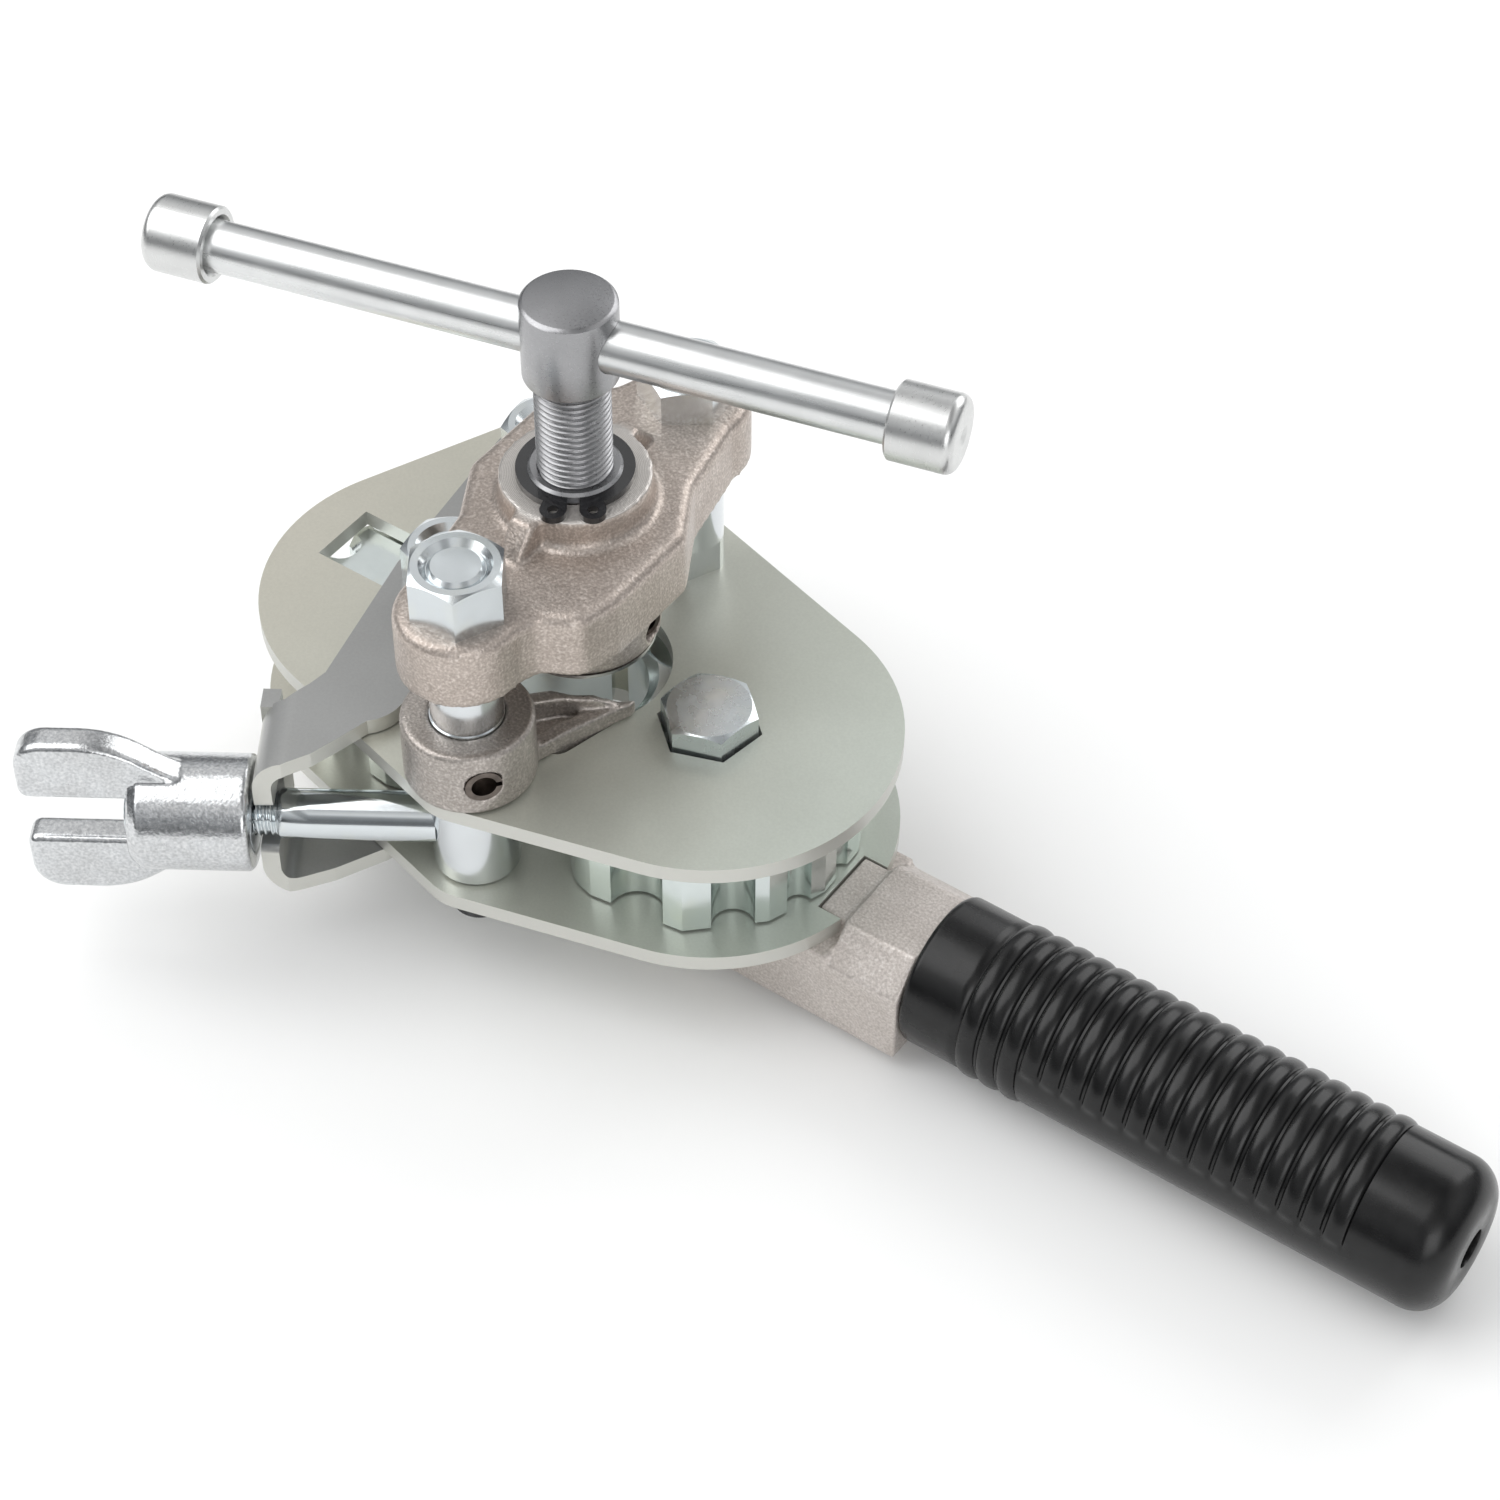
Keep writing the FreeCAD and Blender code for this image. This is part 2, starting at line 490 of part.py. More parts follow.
# ------------------------------------------------- feed sleeve and its circlip
BOSS_TOP = YZ + YT + rise
boss_top = nut_z + " + boss_rise"
sleeve = fuse("sleeve_whole",
              cylinder("sleeve_tube", "sleeve_rad",
                       "sleeve_flange_thk + yoke_thk + boss_rise + sleeve_proud - 0.6",
                       z=yoke_z + " - sleeve_flange_thk"),
              cone("sleeve_crown", "sleeve_rad", "sleeve_rad - 0.6", "0.6", z=boss_top
                   + " + sleeve_proud - 0.6"),
              cylinder("sleeve_flange", "sleeve_flange_rad", "sleeve_flange_thk", z=yoke_z
                       + " - sleeve_flange_thk"))
groove = cut("sleeve_groove", cylinder("groove_out", "sleeve_rad + 1", "clip_thk", z=boss_top),
             cylinder("groove_in", "sleeve_rad - clip_groove_deep", "clip_thk", z=boss_top))
node("feed_sleeve", cut("feed_sleeve", sleeve, groove,
     cylinder("sleeve_bore", "screw_rad + run_clear", "60", z=yoke_z + " - 20")))

clip_in = val("sleeve_rad") - val("clip_groove_deep")
clip = Part.makeCylinder(val("clip_rad"), val("clip_thk"), V(0, 0, BOSS_TOP))
lugs = []
for s in (-1, 1):
    lug_at = val("clip_turn") + s * val("clip_mouth_deg")
    mid = polar((val("clip_rad") + val("clip_lug_rad")) / 2 - 0.6, lug_at, BOSS_TOP)
    lug = Part.makeCylinder(val("clip_lug_half"), val("clip_thk"), mid)
    root = Part.makeBox(val("clip_lug_half") * 2, 4, val("clip_thk"))
    root.Placement = FreeCAD.Placement(mid, FreeCAD.Rotation(Z, lug_at + 90)).multiply(
        FreeCAD.Placement(V(-val("clip_lug_half"), 0, 0), FreeCAD.Rotation()))
    lugs.append((lug, root, mid))
clip = clip.fuse([s for lug, root, mid in lugs for s in (lug, root)])
mouth = Part.makeBox(12, 2 * val("clip_rad") * math.sin(math.radians(val("clip_mouth_deg") - 11)),
                     val("clip_thk"))
mouth.Placement = FreeCAD.Placement(V(0, 0, BOSS_TOP), FreeCAD.Rotation(Z, val("clip_turn"))).multiply(
    FreeCAD.Placement(V(8, -val("clip_rad") * math.sin(math.radians(val("clip_mouth_deg") - 11)), 0),
                      FreeCAD.Rotation()))
clip = clip.cut([Part.makeCylinder(clip_in, val("clip_thk"), V(0, 0, BOSS_TOP)), mouth]
                + [Part.makeCylinder(1.15, val("clip_thk"), mid) for lug, root, mid in lugs])
node("circlip", shape("circlip", clip.removeSplitter()))

# -------------------------------------------------- feed screw, head and T-bar
HEAD_Z = BOSS_TOP + val("sleeve_proud") + val("thread_shown")      # under side of the screw's head
CONE_BASE = val("cone_tip_z") + val("cone_rad") - val("cone_nose_rad") + val("cone_rim")
CARRIER_LOW = CONE_BASE + val("head_float")
PIN_Z = CARRIER_LOW + val("pin_up")
PIN_TOP = PIN_Z + val("pin_rad") + 0.1                               # top of the groove for the pin
SHANK_TOP = PIN_TOP + val("shank_over_pin")
SCREW_LOW = SHANK_TOP + val("head_float")


def threaded_rod(radius, pitch, deep, low, high, thread_low):
    """A rod about Z whose thread is a row of V grooves at the pitch."""
    pts = [V(0, 0, low), V(radius, 0, low)]
    count = int((high - thread_low) / pitch)
    for i in range(count):
        z = thread_low + i * pitch
        pts += [V(radius, 0, z + 0.12), V(radius - deep, 0, z + pitch * 0.45),
                V(radius - deep, 0, z + pitch * 0.6),
                V(radius, 0, z + pitch - 0.07)]
    pts += [V(radius, 0, high), V(0, 0, high), V(0, 0, low)]
    clean = [pts[0]]
    for p in pts[1:]:
        if (p - clean[-1]).Length > 1e-6:
            clean.append(p)
    return Part.Face(Part.makePolygon(clean)).revolve(V(), Z, 360)


shank = threaded_rod(val("screw_rad"), val("screw_pitch"), val("thread_deep"), SCREW_LOW, HEAD_Z,
                     SCREW_LOW + val("head_tall"))
edge = val("head_edge")
hr, ht = val("screw_head_rad"), val("screw_head_tall")
head = Part.Face(Part.makePolygon([V(0, 0, HEAD_Z), V(hr - edge, 0, HEAD_Z), V(hr, 0, HEAD_Z + edge),
                                   V(hr, 0, HEAD_Z + ht - edge), V(hr - edge, 0, HEAD_Z + ht),
                                   V(0, 0, HEAD_Z + ht),
                                   V(0, 0, HEAD_Z)])).revolve(V(), Z, 360)
BAR_Z = HEAD_Z + val("bar_up")
BAR_DIR = polar(1, val("bar_turn"))
bar_hole = Part.makeCylinder(val("bar_rad") + 2 * val("run_clear"), 40, V(0, 0, BAR_Z) - BAR_DIR * 20,
                             BAR_DIR)
node("feed_screw", shape("feed_screw", shank.fuse(head).removeSplitter().cut(bar_hole)))

# flaring head: turned carrier on the screw's end, the cone spins in it on its shank
cone_base = "cone_tip_z + cone_rad - cone_nose_rad + cone_rim"
head_low = cone_base + " + head_float"
pin_top = head_low + " + pin_up + pin_rad + 0.1"
shank_top = pin_top + " + shank_over_pin"
c_rad = val("head_rad")
carrier = turned("carrier", [
    ("0", head_low), ("head_rad - 1.2", head_low), ("head_rad", head_low + " + 1.6"),
    ("head_rad", head_low + " + head_tall - 2"), ("head_rad - 2", head_low + " + head_tall"),
    ("0", head_low + " + head_tall")])
groove_r = val("shank_rad") - val("pin_rad") - 0.4
pin_off = groove_r + val("pin_rad") + 0.15
pin_dir_deg = val("pin_exit_deg") - math.degrees(math.asin(pin_off / c_rad))
pin_dir = polar(1, pin_dir_deg)
pin_mid = polar(pin_off, pin_dir_deg + 90, PIN_Z)
pin_half = math.sqrt(c_rad ** 2 - (pin_off + val("pin_rad")) ** 2)
pin_hole = shape("pin_hole",
                 Part.makeCylinder(val("pin_rad"), 2 * c_rad, pin_mid - pin_dir * c_rad, pin_dir))
node("flaring_head", cut("flaring_head", carrier, pin_hole,
     cylinder("shank_hole", "shank_rad + 0.1", "pin_up + pin_rad + 0.1 + shank_over_pin + head_float",
              z=head_low),
     cylinder("screw_hole", "screw_rad", "head_tall", z=shank_top + " + head_float")))


def roll_pin(radius, bore, half_length, mid, direction, slit_dir):
    """A rolled spring pin: a tube with a slit along it."""
    tube = Part.makeCylinder(radius, 2 * half_length, mid - direction * half_length, direction)
    slit = Part.makeBox(radius + 1, 1.2, 2 * half_length)
    turn = FreeCAD.Rotation(slit_dir, direction.cross(slit_dir), direction, "ZXY")
    slit.Placement = FreeCAD.Placement(mid - direction * half_length - direction.cross(slit_dir) * 0.6,
                                       turn)
    return tube.cut([Part.makeCylinder(bore, 2 * half_length, mid - direction * half_length, direction),
                     slit])


node("head_pin",
     shape("head_pin", roll_pin(val("pin_rad"), val("pin_bore"), pin_half, pin_mid, pin_dir, Z)))

groove_low = head_low + " + pin_up - pin_rad - 0.1"
groove_deep = "shank_rad - pin_rad - 0.4"
node("flaring_cone", turned("flaring_cone", [
    ("0", "cone_tip_z"), ("cone_nose_rad", "cone_tip_z"), ("cone_rad", cone_base + " - cone_rim"),
    ("cone_rad", cone_base), ("shank_rad", cone_base), ("shank_rad", groove_low),
    (groove_deep, groove_low),
    (groove_deep, pin_top), ("shank_rad", pin_top), ("shank_rad", shank_top), ("0", shank_top)]))

# T-bar: it slides through the screw's head until a cap meets it
BAR_MID = V(0, 0, BAR_Z) + BAR_DIR * val("bar_shift")
half_len, cap_l = val("bar_half"), val("cap_long")
t_bar = node("t_bar", bind(doc.addObject("Part::Cylinder", "t_bar"), Radius="bar_rad",
                           Height="2 * (bar_half - 4)"))
t_bar.Placement = FreeCAD.Placement(BAR_MID - BAR_DIR * (half_len - 4), FreeCAD.Rotation(Z, BAR_DIR))
for tag, s in (("near", -1), ("far", 1)):
    cr, br = val("cap_rad"), val("bar_rad")
    lip = (cr + br) / 2 - 0.3
    prof = Part.Wire([
        Part.makeLine(V(0, 0, 0), V(br, 0, 0)),
        Part.makeLine(V(br, 0, 0), V(br, 0, -(cap_l - 4) + val("cap_recess"))),
        Part.makeLine(V(br, 0, -(cap_l - 4) + val("cap_recess")), V(lip, 0, -(cap_l - 4))),
        Part.makeLine(V(lip, 0, -(cap_l - 4)), V(cr - 0.5, 0, -(cap_l - 4))),
        Part.makeLine(V(cr - 0.5, 0, -(cap_l - 4)), V(cr, 0, -(cap_l - 4) + 0.5)),
        Part.makeLine(V(cr, 0, -(cap_l - 4) + 0.5), V(cr, 0, 4 - 2.2)),
        Part.Arc(V(cr, 0, 4 - 2.2), V(cr - 2.2 * (1 - math.sqrt(0.5)), 0,
                                      4 - 2.2 * (1 - math.sqrt(0.5))), V(cr - 2.2, 0, 4)).toShape(),
        Part.makeLine(V(cr - 2.2, 0, 4), V(val("cap_dimple_rad"), 0, 4)),
        Part.makeLine(V(val("cap_dimple_rad"), 0, 4), V(0, 0, 4 - 0.9)),
        Part.makeLine(V(0, 0, 4 - 0.9), V(0, 0, 0))])
    cap = node("t_bar_cap_" + tag, shape("t_bar_cap_" + tag, Part.Face(prof).revolve(V(), Z, 360)))
    cap.Placement = FreeCAD.Placement(BAR_MID + BAR_DIR * s * (half_len - 4),
                                      FreeCAD.Rotation(Z, BAR_DIR * s))

# ------------------------------------------------------------------- stop arm
# collar round the front pillar with a two-ribbed wedge that reaches for the tube
COL_LOW = TOP + val("side_clear") / 2
COL_TALL = val("collar_tall") - val("side_clear") / 2
col_r = val("collar_rad")
collar = Part.makeCylinder(col_r, COL_TALL, V(0, 0, COL_LOW))
collar = collar.makeChamfer(0.9, [collar.Edges[0], collar.Edges[2]])
foot = TOP - val("stop_foot_drop")
rib_z, wall_z, floor_z = TOP + val("stop_rib_rise"), TOP + val("stop_wall_rise"), TOP + val("stop_floor_rise")


def stop_slab(outline, profile):
    """A piece of the arm: its plan outline, under a side profile of (reach, height)."""
    slab = polygon_face(outline, foot).extrude(V(0, 0, rib_z + 10 - foot))
    pts = [V(-30, y, z) for y, z in profile]
    return slab.common(Part.Face(Part.makePolygon(pts + pts[:1])).extrude(V(60, 0, 0)))


left_edge = [(-12.5, 4), (-9.8, 15.7), (-9.3, 21.8), (-6.6, 28.4), (-5.2, 33.5), (-4.4, 38.2)]
right_edge = [(5.0, 4), (3.6, 13.4), (1.0, 20.7), (-3.3, 36.8)]
reach = left_edge[-1][1]
floor = stop_slab(right_edge + left_edge[::-1],
                  [(4, COL_LOW), (15.6, COL_LOW), (15.6, foot), (reach, foot), (reach, floor_z),
                   (4, floor_z)])
tall_rib = stop_slab([(-8.6, 4), (-6.6, 15.7), (-6.2, 21.8), (-3.9, 28.4), (-3.4, 32.8)]
                     + left_edge[:5][::-1],
                     [(4, COL_LOW), (34, COL_LOW), (34, wall_z - 0.4), (28.5, rib_z - 0.5), (16, rib_z),
                      (4, rib_z + 3.4)])
side_wall = stop_slab(right_edge + [left_edge[-1], (-6.0, 31.5), (-2.4, 19), (0.6, 12.5), (1.8, 4)],
                      [(4, COL_LOW), (reach, COL_LOW), (reach, wall_z - 0.8), (30, wall_z), (4, wall_z)])
wedge = floor.fuse([tall_rib, side_wall])
stop = collar.fuse(wedge)
pin_a = val("stop_pin_turn") - val("stop_turn")
pin_dir2 = polar(1, pin_a)
SP_Z = COL_LOW + val("stop_pin_up")
pin_len = col_r - val("stop_bush_rad") - 0.5
stop = stop.cut([Part.makeCylinder(val("stop_bush_rad") + val("run_clear"), 60, V(0, 0, foot - 10)),
                 Part.makeCylinder(val("stop_pin_rad"), pin_len + 2, V(0, 0, SP_Z)
                                   + pin_dir2 * (col_r - pin_len), pin_dir2)])
STOP_PLACE = FreeCAD.Placement(FRONT, FreeCAD.Rotation(Z, val("stop_turn")))
# the flaring head passes the arm's inner edge, and the foot hangs inside the plate's opening
to_arm = STOP_PLACE.inverse()
head_path = Part.makeCylinder(val("head_rad") + val("head_pass"), 200, V(0, 0, -100))
head_path.Placement = to_arm
below = tube_opening(foot - 5).Faces[0].makeOffset2D(-val("foot_clear")).extrude(V(0, 0, 20))
below.Placement = to_arm
low_half = Part.makeBox(200, 200, TOP + val("side_clear") / 2 - foot + 5, V(-100, -100, foot - 5))
stop = stop.cut([head_path, low_half.cut(below)])
stop_obj = node("stop_arm", shape("stop_arm", stop.removeSplitter()))
stop_obj.Placement = STOP_PLACE
sp_mid = V(0, 0, SP_Z) + pin_dir2 * (col_r - pin_len / 2 - 0.1)
stop_pin = node("stop_pin", shape("stop_pin", roll_pin(val("stop_pin_rad"), val("stop_pin_bore"),
                                                       pin_len / 2 - 0.1, sp_mid, pin_dir2,
                V(-pin_dir2.y, pin_dir2.x, 0))))
stop_pin.Placement = STOP_PLACE

# ------------------------------------------------------------------ clamp arm
U = polar(1, val("rod_turn"))                 # along the swing bolt, away from its pillar
W = polar(1, val("rod_turn") + 90)            # across it, towards the open side of the hook


def hook_point(u, w, z=0.0):
    return FRONT + U * u + W * w + V(0, 0, z)


def leg(z, near_edge):
    """One flat leg of the arm, from the pivot over the die axle to the bend at the hook."""
    h, nh = val("arm_half"), val("arm_neck_half")
    nx, ny = val("arm_neck_x"), val("arm_neck_y")
    upper = hull_face([(LEFT_DIE.x, LEFT_DIE.y, h), (PIVOT.x, PIVOT.y, h)], z)
    mid = hull_face([(nx, ny, nh), (LEFT_DIE.x, LEFT_DIE.y, h)], z)
    hook = polygon_face([(p.x, p.y)
                         for p in [V(nx - nh, ny, 0), hook_point(wr - 10.2, val("web_far") - 4.4),
                        hook_point(wr - 5.4, val("web_far")), hook_point(wr, val("web_far")),
                        hook_point(wr, val("web_near"))]
                        + [hook_point(u, w) for u, w in near_edge] + [V(nx + nh * 0.97, ny + 2, 0)]], z)
    return upper.fuse([mid, hook]).removeSplitter().extrude(V(0, 0, 60))


LEG_UP = TOP + val("side_clear")
LEG_LOW = BOT - val("side_clear") - val("arm_thk")
A_T = val("arm_thk")
wr = val("web_reach")


def bent_profile(end, low, high, bend):
    """A flat shape from far back to end, its two corners there rounded, in the X-Z plane."""
    k = bend * (1 - math.sqrt(0.5))
    low_arc = Part.Arc(V(end - bend, 0, low), V(end - k, 0, low + k), V(end, 0, low + bend)).toShape()
    high_arc = Part.Arc(V(end, 0, high - bend), V(end - k, 0, high - k), V(end - bend, 0, high)).toShape()
    return Part.Face(Part.Wire([Part.makeLine(V(-150, 0, low), V(end - bend, 0, low)), low_arc,
                                Part.makeLine(V(end, 0, low + bend), V(end, 0, high - bend)), high_arc,
                                Part.makeLine(V(end - bend, 0, high), V(-150, 0, high)),
                                Part.makeLine(V(-150, 0, high), V(-150, 0, low))]))


# sheet bent to a channel, seen along the hook
bend_r = val("web_bend_rad")
channel = bent_profile(wr, LEG_LOW, LEG_UP + A_T, bend_r).cut(
    bent_profile(wr - A_T, LEG_LOW + A_T, LEG_UP, bend_r - A_T)).extrude(V(0, 400, 0))
channel.Placement = FreeCAD.Placement(FRONT, FreeCAD.Rotation(Z, val("rod_turn"))).multiply(
    FreeCAD.Placement(V(0, -200, 0), FreeCAD.Rotation()))
# a stub of the lower leg's sheet stands up behind the upper bend
stub = Part.makeBox(A_T, val("web_far") + 1 - val("web_stub"), LEG_UP + A_T / 2 - LEG_LOW - bend_r)
stub.Placement = FreeCAD.Placement(hook_point(wr - A_T, val("web_stub"), LEG_LOW + bend_r),
                                   FreeCAD.Rotation(Z, val("rod_turn")))
top_near = [(wr - 6.7, 4.6), (wr - 12.7, 1.3), (wr - 18.5, -3.8), (wr - 27, -11.8)]
low_near = [(wr - 5.2, 5.2), (wr - 15, 1.2), (wr - 25.4, -4.9), (wr - 33, -10.4)]
arm = leg(0, top_near).fuse(leg(-60, low_near)).common(channel)
rs = val("rod_slot_half")
slot_cyl = Part.makeCylinder(rs, A_T + 2, hook_point(wr - A_T - 1, val("rod_slot_end") + rs), U)
slot_box = Part.makeBox(A_T + 2, 40, 2 * rs)
slot_box.Placement = FreeCAD.Placement(hook_point(wr - A_T - 1, val("rod_slot_end") + rs, -rs),
                                       FreeCAD.Rotation(Z, val("rod_turn")))
arm = arm.cut([slot_cyl, slot_box]
              + [Part.makeCylinder(BOLT_R + val("run_clear"), 80, V(PIVOT.x, PIVOT.y, -40)),
                 Part.makeCylinder(BOLT_R, 80, V(LEFT_DIE.x, LEFT_DIE.y, -40))]).removeSplitter()
tips = [e for e in arm.Edges if e.Length < A_T + 0.1 and e.BoundBox.ZLength < 1e-6
        and abs(abs(e.BoundBox.ZMax) - rs) < 1e-6
        and (V(e.CenterOfMass.x, e.CenterOfMass.y, 0) - hook_point(wr - A_T / 2,
                                                                   val("web_near"))).Length < 1]
arm = arm.makeFillet(val("prong_tip_rad"), tips).fuse(stub).removeSplitter()
node("clamp_arm", shape("clamp_arm", arm))

leg_low_z = low_bot + " - side_clear - arm_thk"
leg_top_z = up_top + " + side_clear + arm_thk"
for tag, at, wheel in (("pivot", PIVOT, False), ("left_die", LEFT_DIE, True)):
    x, y = repr(at.x), repr(at.y)
    extra = "0" if wheel else "side_clear"
    head = hex_solid(tag + "_head", "bolt_head_tall", x, y,
                     "%s - bolt_head_tall - (%s)" % (leg_low_z, extra), "10",
                     crown_up=False)
    long = "gap + 2 * plate_thk + 2 * side_clear + 2 * arm_thk + 2 * (%s) + arm_nut_tall - stud_below_nut" % extra
    shank = cylinder(tag + "_shank", "bolt_dia / 2", long, x=x, y=y, z="%s - (%s)" % (leg_low_z, extra))
    node(tag + "_bolt", fuse(tag + "_bolt", head, shank))
    lock_nut(tag + "_nut", x, y, "%s + (%s)" % (leg_top_z, extra), "35" if wheel else "38",
             "arm_nut_tall")
    # the bush: held between the plates at the pivot, inside the wheel on the arm
    end = "0" if not wheel else "wheel_end_gap / 2"
    node(tag + "_bush", cut(tag + "_bush",
         cylinder(tag + "_bush_outer", "bush_rad", "gap - 2 * (%s)" % end, x=x, y=y,
                  z="%s + (%s)" % (low_top, end)),
         cylinder(tag + "_bush_bore", "bolt_dia / 2", "gap", x=x, y=y, z=low_top)))

# ----------------------------------------------------------------- swing bolt
rod_in = val("barrel_bore_bush") + 0.6
barrel_low, barrel_top = "side_clear - gap / 2", "gap / 2 - side_clear"
barrel = turned("barrel", [
    ("barrel_bore_bush + run_clear", barrel_low), ("barrel_rad - 0.6", barrel_low),
    ("barrel_rad", barrel_low + " + 0.6"),
    ("barrel_rad", barrel_top + " - 0.6"), ("barrel_rad - 0.6", barrel_top),
    ("barrel_bore_bush + run_clear", barrel_top)])
barrel.Placement = FreeCAD.Placement(FRONT, FreeCAD.Rotation())
rod_socket = shape("rod_socket", Part.makeCylinder(val("rod_rad"), 10, hook_point(rod_in, 0), U))
node("swing_barrel", cut("swing_barrel", barrel, rod_socket))
plain = val("rod_shoulder") - rod_in
rod = Part.makeCylinder(val("rod_rad"), plain, V(0, 0, 0))
rod = rod.makeChamfer(0.5, [e for e in rod.Edges if abs(e.BoundBox.ZMin - plain) < 1e-6
                            and abs(e.BoundBox.ZMax - plain) < 1e-6])
stem = threaded_rod(val("rod_thread_rad"), 1.5, 0.65, plain - 1, val("rod_end") - rod_in, plain + 0.6)
rod = rod.fuse(stem).removeSplitter()
rod_obj = node("swing_rod", shape("swing_rod", rod))
rod_obj.Placement = FreeCAD.Placement(hook_point(rod_in, 0), FreeCAD.Rotation(Z, U))

thrust_at = wr + val("thrust_gap")
washer_obj = node("thrust_washer", turned("thrust_washer", [
    ("rod_thread_rad + run_clear", "0"), ("thrust_rad", "0"), ("thrust_rad", "thrust_thk"),
    ("rod_thread_rad + run_clear", "thrust_thk")]))
washer_obj.Placement = FreeCAD.Placement(hook_point(thrust_at, 0), FreeCAD.Rotation(Z, U))

# wing nut about its own Z, wings in its X-Z plane
wb, wl, wt = val("wing_body_rad"), val("wing_body_long"), val("wing_thk")
wi, wo, wreach, tip = val("wing_in"), val("wing_out"), val("wing_reach"), val("wing_tip_rad")
wing_nut = Part.Face(Part.makePolygon([V(0, 0, 0), V(wb - 0.8, 0, 0), V(wb, 0, 0.8), V(wb, 0, wl - 2.5),
                                       V(wb - 1.8, 0, wl), V(0, 0, wl), V(0, 0, 0)])).revolve(V(), Z, 360)
wings = []
for s in (-1, 1):
    rise = [(wb - 0.8, 0.49), (wb + 0.6, 0.62), (wb + 3.1, 0.77), (wo - 3.9, 0.9), (wo - 1.9, 1.03),
            (wo - 0.3, 1.23), (wo, 1.45)]
    curve = Part.BSplineCurve()
    curve.interpolate([V(s * r, -wt / 2, wl * share) for r, share in rise])
    start, end = V(s * rise[0][0], -wt / 2, wl * rise[0][1]), V(s * wo, -wt / 2, wl * 1.45)
    inner = 2.5
    corner, nook = V(s * wo, -wt / 2, wreach - tip), V(s * wi, -wt / 2, wreach - inner)
    tip_arc = Part.Arc(corner, V(s * (wo - tip * 0.29), -wt / 2, wreach - tip * 0.29),
                       V(s * (wo - tip), -wt / 2, wreach)).toShape()
    in_arc = Part.Arc(V(s * (wi + inner), -wt / 2, wreach),
                      V(s * (wi + inner * 0.29), -wt / 2, wreach - inner * 0.29), nook).toShape()
    root = V(s * wi, -wt / 2, start.z)
    outline_w = Part.Wire([curve.toShape(), Part.makeLine(end, corner), tip_arc,
                           Part.makeLine(V(s * (wo - tip), -wt / 2, wreach),
                                         V(s * (wi + inner), -wt / 2, wreach)),
                           in_arc, Part.makeLine(nook, root), Part.makeLine(root, start)])
    wing = Part.Face(outline_w).extrude(V(0, wt, 0))
    rim = [e for e in wing.Edges if e.BoundBox.YLength < 1e-6 and e.BoundBox.ZMax > wl * 0.6]
    wing = wing.makeFillet(1.6, rim)
    wings.append(wing)
wing_nut = wing_nut.fuse(wings).removeSplitter()
wing_nut = wing_nut.cut([Part.makeCylinder(val("rod_thread_rad") + val("run_clear"), wl + 2, V(0, 0, -1)),
                         Part.makeCylinder(val("thrust_rad") + val("run_clear"), val("thrust_thk"), V())])
wing_obj = node("wing_nut", shape("wing_nut", wing_nut))
# its face stands just behind the washer's, which sits in a counterbore
wing_obj.Placement = FreeCAD.Placement(hook_point(thrust_at + val("run_clear"), 0),
                                       FreeCAD.Rotation(V(0, 0, 1), W, U, "ZXY"))

# --------------------------------------------------------------------- handle
HZ = -val("handle_drop")
ch, cb = val("cast_half"), val("cast_bottom")
step_x, end_x = val("cast_step_x"), val("cast_end_x")
flat_arm = hull_face([(RIGHT_DIE.x, 0, ch), (step_x, 0, ch)], cb).extrude(V(0, 0, BOT - cb))
flat_arm = flat_arm.common(Part.makeBox(step_x + 60, 2 * ch, 60, V(-60, -ch, cb)))
block = Part.makeBox(end_x - step_x, 2 * ch, -UP + 1.2 - cb, V(step_x, -ch, cb))
block = block.makeChamfer(val("cast_chamfer_in"), [e for e in block.Edges if e.BoundBox.XLength > 5
                                                   and e.BoundBox.ZMin > cb + 5])
key_len = step_x - key_x - val("side_clear")
tongue = Part.makeBox(key_len + 2, 2 * (val("key_slot_half") - val("run_clear")), T,
                      V(key_x + val("side_clear"), -(val("key_slot_half") - val("run_clear")), BOT))
rim_cut = Part.makeCylinder(val("plate_die_rad") + val("side_clear"), T + 20, V(RIGHT_DIE.x, 0, BOT))
low_block = block.cut(rim_cut)
casting = flat_arm.fuse([low_block, tongue]).removeSplitter()
casting = casting.cut([Part.makeCylinder(BOLT_R, 14, V(RIGHT_DIE.x, 0, BOT - 14)),
                       Part.makeCylinder(val("tang_rad"), 14, V(end_x - 14, 0, HZ), V(1, 0, 0))])
node("handle_casting", shape("handle_casting", casting))
node("handle_tang",
     fuse("handle_tang", cylinder("tang_bar", "tang_rad", "tang_long + 13", x="cast_end_x - 14",
     z="-handle_drop", turn="90", axis=V(0, 1, 0)),
     cone("tang_tip", "tang_rad", "tang_rad - 1", "1", x="cast_end_x + tang_long - 1", z="-handle_drop",
          turn="90", axis=V(0, 1, 0))))

gl, gr, ger = val("grip_long"), val("grip_rad"), val("grip_end_rad")
rib, first, pitch = val("grip_rib_rad"), val("grip_rib_first"), val("grip_rib_pitch")
edges = []
pts = [V(val("tang_rad"), 0, 0), V(gr - 1.5, 0, 0)]
edges.append(Part.makeLine(pts[0], pts[1]))
edges.append(Part.Arc(V(gr - 1.5, 0, 0), V(gr - 0.44, 0, 0.44), V(gr, 0, 1.5)).toShape())
here = V(gr, 0, 1.5)
for i in range(int(val("grip_rib_count"))):
    z = first + i * pitch
    a, b = V(gr, 0, z), V(gr, 0, z + 2 * rib + 1.0)
    edges.append(Part.makeLine(here, a))
    edges.append(Part.Arc(a, V(gr + rib * 0.8, 0, (a.z + b.z) / 2), b).toShape())
    here = b
edges.append(Part.makeLine(here, V(gr, 0, gl - ger)))
edges.append(Part.Arc(V(gr, 0, gl - ger),
                      V(gr - ger * (1 - math.sqrt(0.5)), 0, gl - ger * (1 - math.sqrt(0.5))),
                      V(gr - ger, 0, gl)).toShape())
